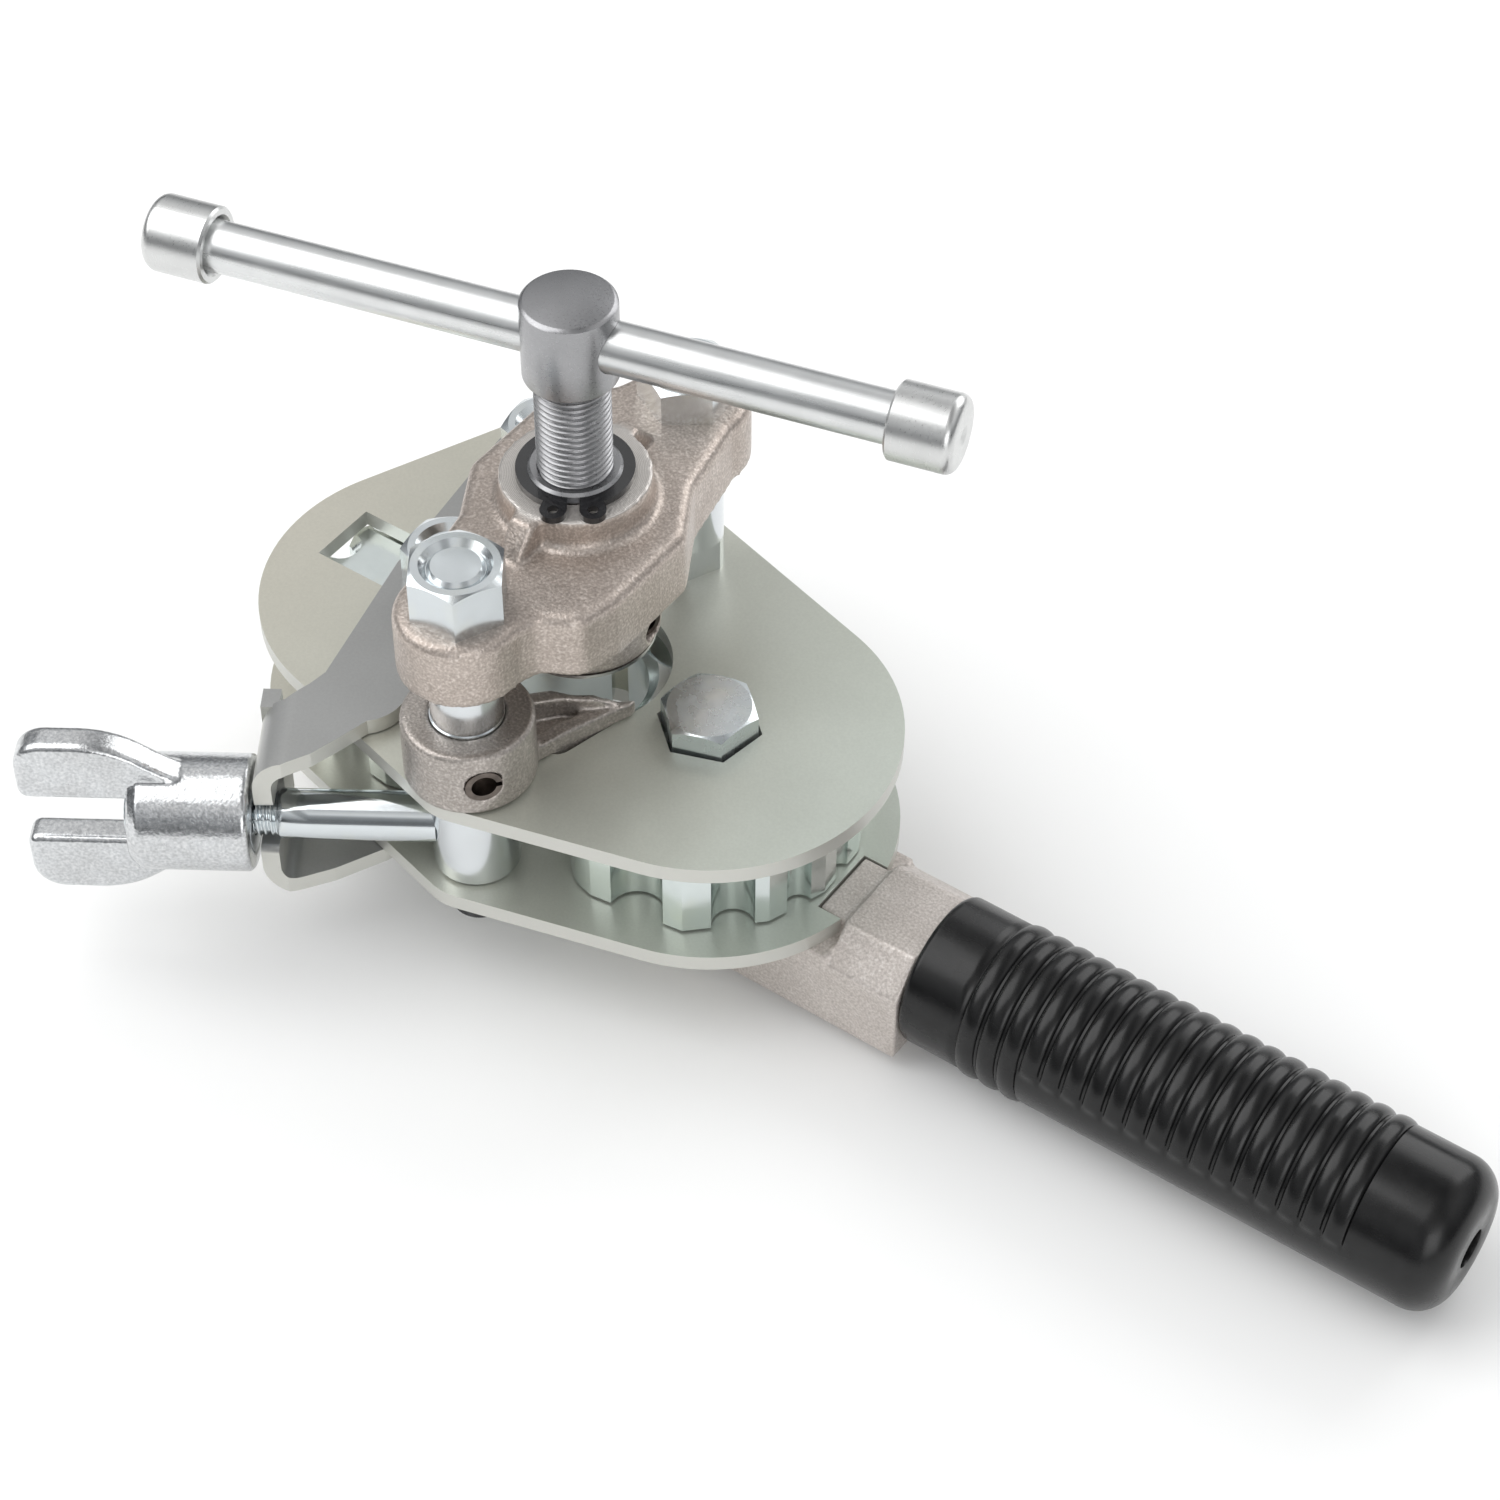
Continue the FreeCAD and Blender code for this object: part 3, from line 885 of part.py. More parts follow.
edges.append(Part.makeLine(V(gr - ger, 0, gl), V(val("grip_hole_rad"), 0, gl)))
edges.append(Part.makeLine(V(val("grip_hole_rad"), 0, gl),
                           V(val("grip_hole_rad"), 0, gl - val("grip_hole_deep"))))
edges.append(Part.makeLine(V(val("grip_hole_rad"), 0, gl - val("grip_hole_deep")),
                           V(0, 0, gl - val("grip_hole_deep"))))
edges.append(Part.makeLine(V(0, 0, gl - val("grip_hole_deep")), V(0, 0, val("tang_long"))))
edges.append(Part.makeLine(V(0, 0, val("tang_long")), V(val("tang_rad"), 0, val("tang_long"))))
edges.append(Part.makeLine(V(val("tang_rad"), 0, val("tang_long")), V(val("tang_rad"), 0, 0)))
grip = Part.Face(Part.Wire(edges)).revolve(V(), Z, 360)
grip_obj = node("grip", shape("grip", grip))
grip_obj.Placement = FreeCAD.Placement(V(end_x, 0, HZ), FreeCAD.Rotation(Z, V(1, 0, 0)))

# ------------------------------------------------------------- check and write
# the heights above count from half way between the plates; the finished part
# counts from a point a quarter of the gap above the lower plate, so every piece rises
doc.recompute()
rise = FreeCAD.Placement(V(0, 0, val("origin_drop")), FreeCAD.Rotation())
for obj in NODES:
    obj.Placement = rise.multiply(obj.Placement)
doc.recompute()
for obj in doc.Objects:
    if "Invalid" in obj.State or "Error" in obj.State:
        raise RuntimeError("%s failed: %s" % (obj.Label, obj.State))
os.makedirs("parts", exist_ok=True)
for obj in NODES:
    solid = obj.Shape
    if solid.isNull() or not solid.isValid():
        raise RuntimeError("%s has no valid shape" % obj.Label)
    if len(solid.Solids) != 1:
        raise RuntimeError("%s has %d solids" % (obj.Label, len(solid.Solids)))
    solid.exportStep(os.path.join("parts", obj.Label + ".step"))
    print("%-18s %10.1f mm3" % (obj.Label, solid.Volume))
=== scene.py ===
import math

import bmesh
import bpy
import numpy as np
from mathutils import Matrix, Vector


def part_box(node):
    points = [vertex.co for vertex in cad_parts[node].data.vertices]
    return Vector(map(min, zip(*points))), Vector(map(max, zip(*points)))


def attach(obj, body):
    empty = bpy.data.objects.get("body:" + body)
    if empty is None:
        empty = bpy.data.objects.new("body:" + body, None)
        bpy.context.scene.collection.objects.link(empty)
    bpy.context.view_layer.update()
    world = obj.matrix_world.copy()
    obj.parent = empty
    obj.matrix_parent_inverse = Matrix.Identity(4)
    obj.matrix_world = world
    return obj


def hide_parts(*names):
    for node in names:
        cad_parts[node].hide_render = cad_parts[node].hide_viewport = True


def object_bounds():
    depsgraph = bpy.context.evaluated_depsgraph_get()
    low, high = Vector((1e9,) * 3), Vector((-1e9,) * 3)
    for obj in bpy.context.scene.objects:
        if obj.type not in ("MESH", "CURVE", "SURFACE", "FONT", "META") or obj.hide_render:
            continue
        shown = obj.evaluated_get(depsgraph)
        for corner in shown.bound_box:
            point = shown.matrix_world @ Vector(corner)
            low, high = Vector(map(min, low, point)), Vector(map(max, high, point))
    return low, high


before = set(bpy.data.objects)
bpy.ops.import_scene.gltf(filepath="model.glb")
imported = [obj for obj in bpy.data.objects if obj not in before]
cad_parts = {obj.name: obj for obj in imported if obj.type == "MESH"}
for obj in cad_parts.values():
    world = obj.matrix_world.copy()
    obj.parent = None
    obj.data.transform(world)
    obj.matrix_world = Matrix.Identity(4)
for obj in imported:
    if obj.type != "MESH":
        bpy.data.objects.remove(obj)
cad_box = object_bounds()

# ---------------------------------------------------------------------------
# Frame plates.  Two 4 mm steel plates, laser-cut and zinc-nickel plated to a
# matt warm grey that turns a little greener towards the handle.  They carry
# every axle of the tool.


def start_material(name, metallic, roughness):
    """An empty principled material, its node makers and its Object coordinates."""
    mat = bpy.data.materials.new(name)
    mat.use_nodes = True
    nodes, links = mat.node_tree.nodes, mat.node_tree.links
    shader = nodes["Principled BSDF"]
    shader.inputs["Metallic"].default_value = metallic
    shader.inputs["Roughness"].default_value = roughness
    coords = nodes.new("ShaderNodeTexCoord").outputs["Object"]
    return mat, nodes, links, shader, coords


def noise(nodes, links, coords, size, detail=4.0, stretch=(1, 1, 1)):
    """Noise whose blotches are about size metres across, stretched along the axes."""
    mapping = nodes.new("ShaderNodeMapping")
    mapping.inputs["Scale"].default_value = [1.0 / (size * s) for s in stretch]
    texture = nodes.new("ShaderNodeTexNoise")
    texture.inputs["Scale"].default_value = 1.0
    texture.inputs["Detail"].default_value = detail
    links.new(coords, mapping.inputs["Vector"])
    links.new(mapping.outputs["Vector"], texture.inputs["Vector"])
    return texture.outputs["Fac"]


def ramp(nodes, links, value, stops):
    """Colours, or greys, along a value: stops are (position, colour)."""
    node = nodes.new("ShaderNodeValToRGB")
    while len(node.color_ramp.elements) < len(stops):
        node.color_ramp.elements.new(0.5)
    for element, (position, colour) in zip(node.color_ramp.elements, stops):
        element.position = position
        element.color = tuple(colour) + (1.0,)
    links.new(value, node.inputs["Fac"])
    return node.outputs["Color"]


def blend_colours(nodes, links, kind, amount, first, second):
    """Two colours mixed; amount is a number or a socket."""
    node = nodes.new("ShaderNodeMix")
    node.data_type = "RGBA"
    node.blend_type = kind
    for socket, value in ((node.inputs["Factor"], amount), (node.inputs["A"], first),
                          (node.inputs["B"], second)):
        if isinstance(value, (int, float)):
            socket.default_value = value
        elif isinstance(value, tuple):
            socket.default_value = value + (1.0,)
        else:
            links.new(value, socket)
    return node.outputs["Result"]


def add_bump(nodes, links, shader, height, strength, distance):
    """Bump on top of whatever bump the shader already has."""
    bump = nodes.new("ShaderNodeBump")
    bump.inputs["Strength"].default_value = strength
    bump.inputs["Distance"].default_value = distance
    links.new(height, bump.inputs["Height"])
    if shader.inputs["Normal"].links:
        links.new(shader.inputs["Normal"].links[0].from_socket, bump.inputs["Normal"])
    links.new(bump.outputs["Normal"], shader.inputs["Normal"])


def plated_plate(name, warm, cool, span):
    """Matt plated sheet: a slow drift from warm to cool along X, fine grain, faint rolling streaks, and a
    painted highlight on the sideways-facing cut edges.
    """
    mat, nodes, links, shader, coords = start_material(name, 0.6, 0.38)
    split = nodes.new("ShaderNodeSeparateXYZ")
    links.new(coords, split.inputs["Vector"])
    drift = nodes.new("ShaderNodeMapRange")
    drift.inputs["From Min"].default_value, drift.inputs["From Max"].default_value = span
    links.new(split.outputs["X"], drift.inputs["Value"])
    base = blend_colours(nodes, links, "MIX", drift.outputs["Result"], warm, cool)
    clouds = ramp(nodes, links, noise(nodes, links, coords, 0.03),
                  [(0.3, (0.9, 0.9, 0.89)), (0.7, (1.0, 1.0, 1.0))])
    base = blend_colours(nodes, links, "MULTIPLY", 0.7, base, clouds)
    grain = noise(nodes, links, coords, 0.0006, 3.0)
    base = blend_colours(nodes, links, "MULTIPLY", 0.3, base,
                         ramp(nodes, links, grain, [(0.3, (0.8, 0.8, 0.8)), (0.7, (1.0, 1.0, 1.0))]))
    # painted highlight: the sideways-facing cut edge is painted a paler cream than the rolled skin,
    # standing in for the light the edges catch
    facing = nodes.new("ShaderNodeSeparateXYZ")
    links.new(nodes["Texture Coordinate"].outputs["Normal"], facing.inputs["Vector"])
    upright = nodes.new("ShaderNodeMath")
    upright.operation = "ABSOLUTE"
    links.new(facing.outputs["Z"], upright.inputs[0])
    edge_highlight_mask = ramp(nodes, links, upright.outputs["Value"], [(0.3, (1.0,) * 3), (0.6, (0.0,) * 3)])
    # the pale cream mixed in here is the painted edge highlight
    base = blend_colours(nodes, links, "MIX", edge_highlight_mask, base, (0.60, 0.60, 0.56))
    links.new(base, shader.inputs["Base Color"])
    rough = ramp(nodes, links, noise(nodes, links, coords, 0.012, 5.0),
                 [(0.2, (0.32,) * 3), (0.8, (0.44,) * 3)])
    links.new(rough, shader.inputs["Roughness"])
    add_bump(nodes, links, shader, grain, 0.25, 0.00004)
    streaks = noise(nodes, links, coords, 0.0008, 2.0, (14, 1, 1))
    add_bump(nodes, links, shader, streaks, 0.12, 0.00003)
    return mat


def dress(mat, *names):
    """Give CAD nodes this material."""
    for name in names:
        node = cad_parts[name]
        node.data.materials.clear()
        node.data.materials.append(mat)


plate_x = (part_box("upper_plate")[0][0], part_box("upper_plate")[1][0])
plate_finish = plated_plate("plated_plate", (0.60, 0.58, 0.505), (0.60, 0.64, 0.58), plate_x)
dress(plate_finish, "upper_plate", "lower_plate")


# ---------------------------------------------------------------------------
# Die wheels.  Two turned steel wheels, each with a flat and a half hole for
# every tube size, bright zinc plated.  The bores and the milled notches keep
# faint upright tool marks.


def bright_zinc(name, tint, roughness, marks=(1, 1, 12), mark_size=0.0004, mark_strength=0.15):
    """Bright zinc plate: bluish with faint yellow bloom, and fine tool marks stretched along an axis."""
    mat, nodes, links, shader, coords = start_material(name, 1.0, roughness)
    yellowed = (tint[0], tint[1] * 0.985, tint[2] * 0.93)
    bloom = ramp(nodes, links, noise(nodes, links, coords, 0.009, 3.0),
                 [(0.3, tint), (0.55, tuple(c * 0.96 for c in tint)), (0.75, yellowed)])
    links.new(bloom, shader.inputs["Base Color"])
    smear = noise(nodes, links, coords, 0.004, 6.0)
    rough = ramp(nodes, links, smear, [(0.25, (roughness * 0.75,) * 3), (0.75, (roughness * 1.35,) * 3)])
    links.new(rough, shader.inputs["Roughness"])
    scored = noise(nodes, links, coords, mark_size, 2.0, marks)
    add_bump(nodes, links, shader, scored, mark_strength, 0.00002)
    return mat


die_finish = bright_zinc("die_zinc", (0.74, 0.80, 0.79), 0.2)
dress(die_finish, "right_die_wheel", "left_die_wheel")

# ---------------------------------------------------------------------------
# Axle hardware.  Standard hexagon bolts and tall all-metal lock nuts, bushes
# and gap spacers, cold formed or turned, then bright zinc plated.  The right
# die's bolt is a little duller.
bolt_finish = bright_zinc("bolt_zinc", (0.70, 0.74, 0.76), 0.2, (1, 1, 1), 0.0012, 0.2)
turned_finish = bright_zinc("turned_zinc", (0.76, 0.79, 0.81), 0.17, (1, 1, 0.15), 0.0012, 0.12)
grade_finish = bright_zinc("graded_bolt_zinc", (0.72, 0.77, 0.79), 0.26, (1, 1, 1), 0.0012, 0.2)
dress(grade_finish, "right_die_bolt")
dress(bolt_finish, "left_die_bolt", "left_die_nut", "pivot_bolt", "pivot_nut", "front_nut", "back_nut",
      "front_stud", "back_stud")
dress(turned_finish, "right_die_bush", "left_die_bush", "pivot_bush", "barrel_bush", "back_spacer",
      "stop_bush", "front_foot_washer", "back_foot_washer", "thrust_washer")

# ---------------------------------------------------------------------------
# Foot screws.  Socket-head cap screws under the lower plate, black oxide.


def dark_steel(name, colour, roughness):
    """Oiled dark steel with slow blotches and rubbed lighter patches."""
    mat, nodes, links, shader, coords = start_material(name, 1.0, roughness)
    blotch = noise(nodes, links, coords, 0.0025, 5.0)
    worn = tuple(min(1.0, c * 2.2) for c in colour)
    links.new(ramp(nodes, links, blotch, [(0.35, colour), (0.8, worn)]), shader.inputs["Base Color"])
    add_bump(nodes, links, shader, noise(nodes, links, coords, 0.0005, 3.0), 0.3, 0.00003)
    return mat


dress(dark_steel("black_oxide", (0.05, 0.05, 0.052), 0.35), "front_foot_screw", "back_foot_screw")

# ---------------------------------------------------------------------------
# Pillars.  A turned bar with two spanner flats at its foot stands at the back,
# a spacer tube at the front.  Both are bright zinc with fine turning rings.
dress(turned_finish, "back_pillar", "front_spacer")

# ---------------------------------------------------------------------------
# Yoke.  An investment casting, blasted, pinkish brown-grey.  Its boss is faced
# on the lathe, so the boss top is lighter and ringed; the rest keeps the
# grain of the mould and softly rounded edges.


def merged_copy(node_name, name):
    """A copy of a CAD node's mesh with its triangles joined up."""
    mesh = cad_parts[node_name].data.copy()
    work = bmesh.new()
    work.from_mesh(mesh)
    bmesh.ops.remove_doubles(work, verts=work.verts, dist=1e-6)
    work.to_mesh(mesh)
    work.free()
    mesh.materials.clear()
    piece = bpy.data.objects.new(name, mesh)
    bpy.context.scene.collection.objects.link(piece)
    return piece


def bake_modifiers(piece):
    """Replace a piece's mesh by what its modifiers make of it."""
    depsgraph = bpy.context.evaluated_depsgraph_get()
    mesh = bpy.data.meshes.new_from_object(piece.evaluated_get(depsgraph))
    piece.modifiers.clear()
    piece.data = mesh


def soft_casting(node_name, name, voxel, rounds):
    """A casting's skin: the solid remeshed in small cubes, its edges worn round by repeated smoothing."""
    piece = merged_copy(node_name, name)
    remesh = piece.modifiers.new("skin", "REMESH")
    remesh.mode = "VOXEL"
    remesh.voxel_size = voxel
    remesh.use_smooth_shade = True
    soften = piece.modifiers.new("soften", "SMOOTH")
    soften.factor = 0.5
    soften.iterations = rounds
    bake_modifiers(piece)
    return piece


def cast_steel(name, colour, pale, grain_size, roughness, metallic=0.75, strength=0.75):
    """Blasted casting: speckled colour and a grainy skin that sparkles, with slow stains."""
    mat, nodes, links, shader, coords = start_material(name, metallic, roughness)
    grain = noise(nodes, links, coords, grain_size, 4.0)
    speckle = ramp(nodes, links, grain,
                   [(0.3, tuple(c * 0.8 for c in colour)), (0.5, colour), (0.75, pale)])
    stains = ramp(nodes, links, noise(nodes, links, coords, 0.011, 4.0),
                  [(0.3, (0.84, 0.83, 0.82)), (0.7, (1.0, 1.0, 1.0))])
    links.new(blend_colours(nodes, links, "MULTIPLY", 0.8, speckle, stains), shader.inputs["Base Color"])
    rough = ramp(nodes, links, noise(nodes, links, coords, grain_size * 1.7, 3.0),
                 [(0.3, (roughness * 0.75,) * 3), (0.7, (roughness * 1.25,) * 3)])
    links.new(rough, shader.inputs["Roughness"])
    add_bump(nodes, links, shader, grain, strength, 0.00016)
    add_bump(nodes, links, shader, noise(nodes, links, coords, grain_size * 5, 2.0), 0.35, 0.0002)
    return mat


yoke_skin = soft_casting("yoke", "yoke_casting", 0.0006, 7)
yoke_finish = cast_steel("yoke_cast_steel", (0.50, 0.435, 0.39), (0.74, 0.67, 0.62), 0.0006, 0.38)
# the faced boss top: one ring pattern about the screw axis, above the casting's top
nodes, links = yoke_finish.node_tree.nodes, yoke_finish.node_tree.links
shader = nodes["Principled BSDF"]
coords = nodes.new("ShaderNodeTexCoord").outputs["Object"]
split = nodes.new("ShaderNodeSeparateXYZ")
links.new(coords, split.inputs["Vector"])
boss_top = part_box("yoke")[1][2]
faced = nodes.new("ShaderNodeMapRange")
faced.inputs["From Min"].default_value = boss_top - 0.0005
faced.inputs["From Max"].default_value = boss_top - 0.0002
links.new(split.outputs["Z"], faced.inputs["Value"])
rings = nodes.new("ShaderNodeTexWave")
rings.wave_type = "RINGS"
rings.rings_direction = "Z"
rings.inputs["Scale"].default_value = 900
rings.inputs["Distortion"].default_value = 1.5
links.new(coords, rings.inputs["Vector"])
ring_colour = ramp(nodes, links, rings.outputs["Fac"],
                   [(0.2, (0.50, 0.47, 0.44)), (0.8, (0.68, 0.65, 0.62))])
cast_colour = shader.inputs["Base Color"].links[0].from_socket
links.new(blend_colours(nodes, links, "MIX", faced.outputs["Result"], cast_colour, ring_colour),
          shader.inputs["Base Color"])
yoke_skin.data.materials.append(yoke_finish)
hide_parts("yoke")
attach(yoke_skin, "frame")

# ---------------------------------------------------------------------------
# Feed sleeve and circlip.  The threaded sleeve hangs by its flange under the
# yoke and is held on top by a sprung circlip, punched and phosphated black.


def satin_steel(name, colour, roughness, marks, size=0.0006, strength=0.2):
    """Machined steel with a satin skin and fine marks stretched along an axis."""
    mat, nodes, links, shader, coords = start_material(name, 1.0, roughness)
    cloud = noise(nodes, links, coords, 0.006, 5.0)
    links.new(ramp(nodes, links, cloud, [(0.25, tuple(c * 0.9 for c in colour)), (0.75, colour)]),
              shader.inputs["Base Color"])
    fine = noise(nodes, links, coords, size, 3.0, marks)
    links.new(ramp(nodes, links, fine, [(0.25, (roughness * 0.8,) * 3), (0.75, (roughness * 1.25,) * 3)]),
              shader.inputs["Roughness"])
    add_bump(nodes, links, shader, fine, strength, 0.00003)
    return mat


screw_finish = satin_steel("screw_steel", (0.38, 0.38, 0.39), 0.30, (1, 1, 0.5), 0.0006, 0.08)
dress(screw_finish, "feed_sleeve")


def gloss_black(name, base, roughness, coat):
    """Black coating with a soft orange-peel gloss."""
    mat, nodes, links, shader, coords = start_material(name, 0.0, roughness)
    tone = ramp(nodes, links, noise(nodes, links, coords, 0.002, 3.0),
                [(0.3, base), (0.8, tuple(c * 1.9 for c in base))])
    links.new(tone, shader.inputs["Base Color"])
    shader.inputs["Coat Weight"].default_value = coat
    shader.inputs["Coat Roughness"].default_value = 0.08
    add_bump(nodes, links, shader, noise(nodes, links, coords, 0.0007, 2.0), 0.2, 0.00004)
    return mat


dress(gloss_black("clip_black", (0.008, 0.008, 0.009), 0.22, 0.6), "circlip")

# ---------------------------------------------------------------------------
# Feed screw.  One turned piece: a rolled thread, a chamfered head and a cross
# hole for the bar.  The thread is a true helix of 1.5 mm pitch.


def surface(name, x, y, z, mat):
    """A closed-round surface from grids of points: rows run along the piece and columns round it.
    Each end is capped by a fan of triangles to the middle of its ring."""
    rows, cols = x.shape
    points = np.stack([x, y, z], axis=-1).reshape(-1, 3)
    row, col = np.meshgrid(np.arange(rows - 1), np.arange(cols), indexing="ij")
    after = (col + 1) % cols
    here, beyond = row * cols, (row + 1) * cols
    quads = np.stack([here + col, here + after, beyond + after, beyond + col], axis=-1)
    ends = [points.reshape(rows, cols, 3)[i].mean(axis=0) for i in (0, -1)]
    first, last = rows * cols, rows * cols + 1
    step, last_row = np.arange(cols), (rows - 1) * cols
    low = np.stack([np.full(cols, first), (step + 1) % cols, step], axis=-1)
    high = np.stack([np.full(cols, last), last_row + step, last_row + (step + 1) % cols], axis=-1)
    mesh = bpy.data.meshes.new(name)
    faces = quads.reshape(-1, 4).tolist() + low.tolist() + high.tolist()
    mesh.from_pydata(np.vstack([points, ends]), [], faces)
    mesh.update()
    mesh.shade_smooth()
    mesh.materials.append(mat)
    piece = bpy.data.objects.new(name, mesh)
    bpy.context.scene.collection.objects.link(piece)
    return piece


def thread_radius(radius, depth, pitch, along, angle, start, stop, run_out):
    """Radius of a right-hand V thread with flats: the crest radius less the depth times a clipped
    triangle wave of along / pitch - angle / turn, faded to plain over run_out at both ends."""
    phase = (along / pitch - angle / (2 * math.pi)) % 1.0
    tooth = np.clip(1.25 - np.abs(2 * phase - 1) * 1.5, 0.0, 1.0)
    fade = np.clip((along - start) / run_out, 0, 1) * np.clip((stop - along) / run_out, 0, 1)
    return radius - depth * tooth * fade


def keep_sharp(piece, degrees):
    """Smooth shading with edges sharper than an angle kept crisp."""
    piece.data.shade_smooth()
    piece.data.set_sharp_from_angle(angle=math.radians(degrees))


screw_low, screw_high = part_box("feed_screw")
screw_radius, screw_groove, pitch = 0.008, 0.00078, 0.0015
head_radius, head_tall = (screw_high[0] - screw_low[0]) / 2, 0.0194
head_low = screw_high[2] - head_tall
angle = np.linspace(0, 2 * math.pi, 96, endpoint=False)
row_step = 0.00011
along = np.arange(screw_low[2], head_low + 0.0004, row_step)
A, H = np.meshgrid(angle, along)
thread_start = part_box("feed_sleeve")[0][2] - 0.003
thread_stop, run_out = head_low + 0.004, 0.001        # it runs on unseen into the head
R = thread_radius(screw_radius, screw_groove, pitch, H, A, thread_start, thread_stop, run_out)
stem = surface("feed_screw_thread", R * np.cos(A), R * np.sin(A), H, screw_finish)
# the head: radius by height, chamfered at both ends, with the bar's cross hole cut through it
neck = screw_radius - 0.0004                          # the open middle, hidden by the stem
profile = np.array([(neck, 0.0), (head_radius - 0.0009, 0.0), (head_radius - 0.0001, 0.0009),
                    (head_radius, 0.0012), (head_radius, head_tall - 0.0012),
                    (head_radius - 0.0001, head_tall - 0.0007),
                    (head_radius - 0.0007, head_tall - 0.0001),
                    (head_radius - 0.001, head_tall)])
A, P = np.meshgrid(np.linspace(0, 2 * math.pi, 128, endpoint=False), np.arange(len(profile)))
R, H = profile[P, 0], head_low + profile[P, 1]
head = surface("feed_screw_head", R * np.cos(A), R * np.sin(A), H, screw_finish)
bar_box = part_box("t_bar")
bar_height = (bar_box[0][2] + bar_box[1][2]) / 2
bar_radius = (bar_box[1][2] - bar_box[0][2]) / 2
bar_heading = math.radians(14.1)
hole_size, hole_half = bar_radius + 0.0001, 0.02
A, S = np.meshgrid(angle, np.linspace(-hole_half, hole_half, 3))
across, up = hole_size * np.cos(A), hole_size * np.sin(A)
cutter = surface("bar_hole", S * math.cos(bar_heading) - across * math.sin(bar_heading),
                 S * math.sin(bar_heading) + across * math.cos(bar_heading), bar_height + up,
                 screw_finish)
hole = head.modifiers.new("hole", "BOOLEAN")
hole.object = cutter
hole.solver = "EXACT"
bake_modifiers(head)
bpy.data.objects.remove(cutter)
keep_sharp(head, 28)
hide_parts("feed_screw")
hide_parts("feed_screw")
for piece in (stem, head):
    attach(piece, "screw")

# ---------------------------------------------------------------------------
# T-bar.  A drawn bar with a turned cap on each end, satin nickel.  The bar's
# marks run along it, the caps' marks run round them.
bar_finish = satin_steel("bar_nickel", (0.74, 0.75, 0.75), 0.3, (30, 30, 1), 0.0005, 0.1)
cap_finish = satin_steel("cap_nickel", (0.70, 0.705, 0.70), 0.31, (0.6, 2, 2), 0.0005, 0.06)
dress(bar_finish, "t_bar")
dress(cap_finish, "t_bar_cap_near", "t_bar_cap_far")

# ---------------------------------------------------------------------------
# Flaring head and cone.  The head is a small casting pinned to the screw's end
# by a rolled spring pin; the ground cone spins in it.
head_skin = soft_casting("flaring_head", "flaring_head_casting", 0.00045, 4)
head_skin.data.materials.append(cast_steel("head_cast_steel", (0.46, 0.41, 0.37), (0.68, 0.63, 0.59),
                                           0.0006, 0.38))
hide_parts("flaring_head")
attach(head_skin, "screw")
dress(satin_steel("cone_steel", (0.60, 0.60, 0.60), 0.2, (1, 1, 0.2)), "flaring_cone")
dress(dark_steel("pin_steel", (0.10, 0.085, 0.075), 0.32), "head_pin", "stop_pin")

# ---------------------------------------------------------------------------
# Stop arm.  The same blasted casting as the yoke: a collar that swings round
# the front pillar, with a ribbed finger that sets how far the tube stands up.
stop_skin = soft_casting("stop_arm", "stop_arm_casting", 0.00045, 5)
stop_skin.data.materials.append(cast_steel("stop_cast_steel", (0.42, 0.385, 0.355), (0.66, 0.61, 0.58),
                                           0.0006, 0.36))
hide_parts("stop_arm")
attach(stop_skin, "stop")

# ---------------------------------------------------------------------------
# Clamp arm.  4 mm sheet bent to a channel whose web is slotted as a hook for
# the swing bolt, dull zinc plated in a neutral grey.
arm_finish = plated_plate("arm_plate", (0.37, 0.37, 0.365), (0.40, 0.405, 0.40), (-0.06, -0.01))
dress(arm_finish, "clamp_arm")

# ---------------------------------------------------------------------------
# Swing bolt.  A turned barrel on the front stud holds a bright rod whose outer
# half is threaded, 1.5 mm pitch.
dress(turned_finish, "swing_barrel")
rod_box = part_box("swing_rod")
pillar_reach = 0.0396
front_axis = np.array([0.0, -pillar_reach, (rod_box[0][2] + rod_box[1][2]) / 2])
rod_heading = math.radians(213.5)
rod_way = np.array([math.cos(rod_heading), math.sin(rod_heading), 0.0])
rod_side = np.array([-math.sin(rod_heading), math.cos(rod_heading), 0.0])
upright = np.array([0.0, 0.0, 1.0])
rod_start, shoulder, rod_end = 0.0081, 0.0423, 0.0752
rod_radius, stem_radius, rod_groove = 0.0055, 0.005, 0.0007
along = np.concatenate([[rod_start], np.linspace(rod_start + 0.001, shoulder - 0.0006, 6),
                        [shoulder - 0.0001, shoulder], np.arange(shoulder + 0.0001, rod_end, 0.00012)])
A, S = np.meshgrid(np.linspace(0, 2 * math.pi, 72, endpoint=False), along)
plain = np.interp(S, [rod_start, shoulder - 0.0006, shoulder], [rod_radius, rod_radius, stem_radius])
thread_start, run_out = shoulder + 0.0002, 0.0006
cut = stem_radius - thread_radius(stem_radius, rod_groove, pitch, S, A, thread_start, rod_end, run_out)
R = plain - np.where(S > shoulder, cut, 0.0)
place = (front_axis + S[..., None] * rod_way + (R * np.cos(A))[..., None] * rod_side
         + (R * np.sin(A))[..., None] * upright)
rod_finish = bright_zinc("rod_zinc", (0.70, 0.74, 0.76), 0.12, (8, 8, 1), 0.0005, 0.06)
rod = surface("swing_rod_thread", place[..., 0], place[..., 1], place[..., 2], rod_finish)
keep_sharp(rod, 40)
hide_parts("swing_rod")
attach(rod, "swing_bolt")

# ---------------------------------------------------------------------------
# Wing nut.  A die casting with two long wings, bright zinc over a grainy skin.
wing_skin = soft_casting("wing_nut", "wing_nut_casting", 0.00045, 4)
wing_skin.data.materials.append(cast_steel("wing_cast_zinc", (0.66, 0.675, 0.69), (0.84, 0.85, 0.86),
                                           0.0007, 0.22, 1.0, 0.4))
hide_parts("wing_nut")
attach(wing_skin, "wing")

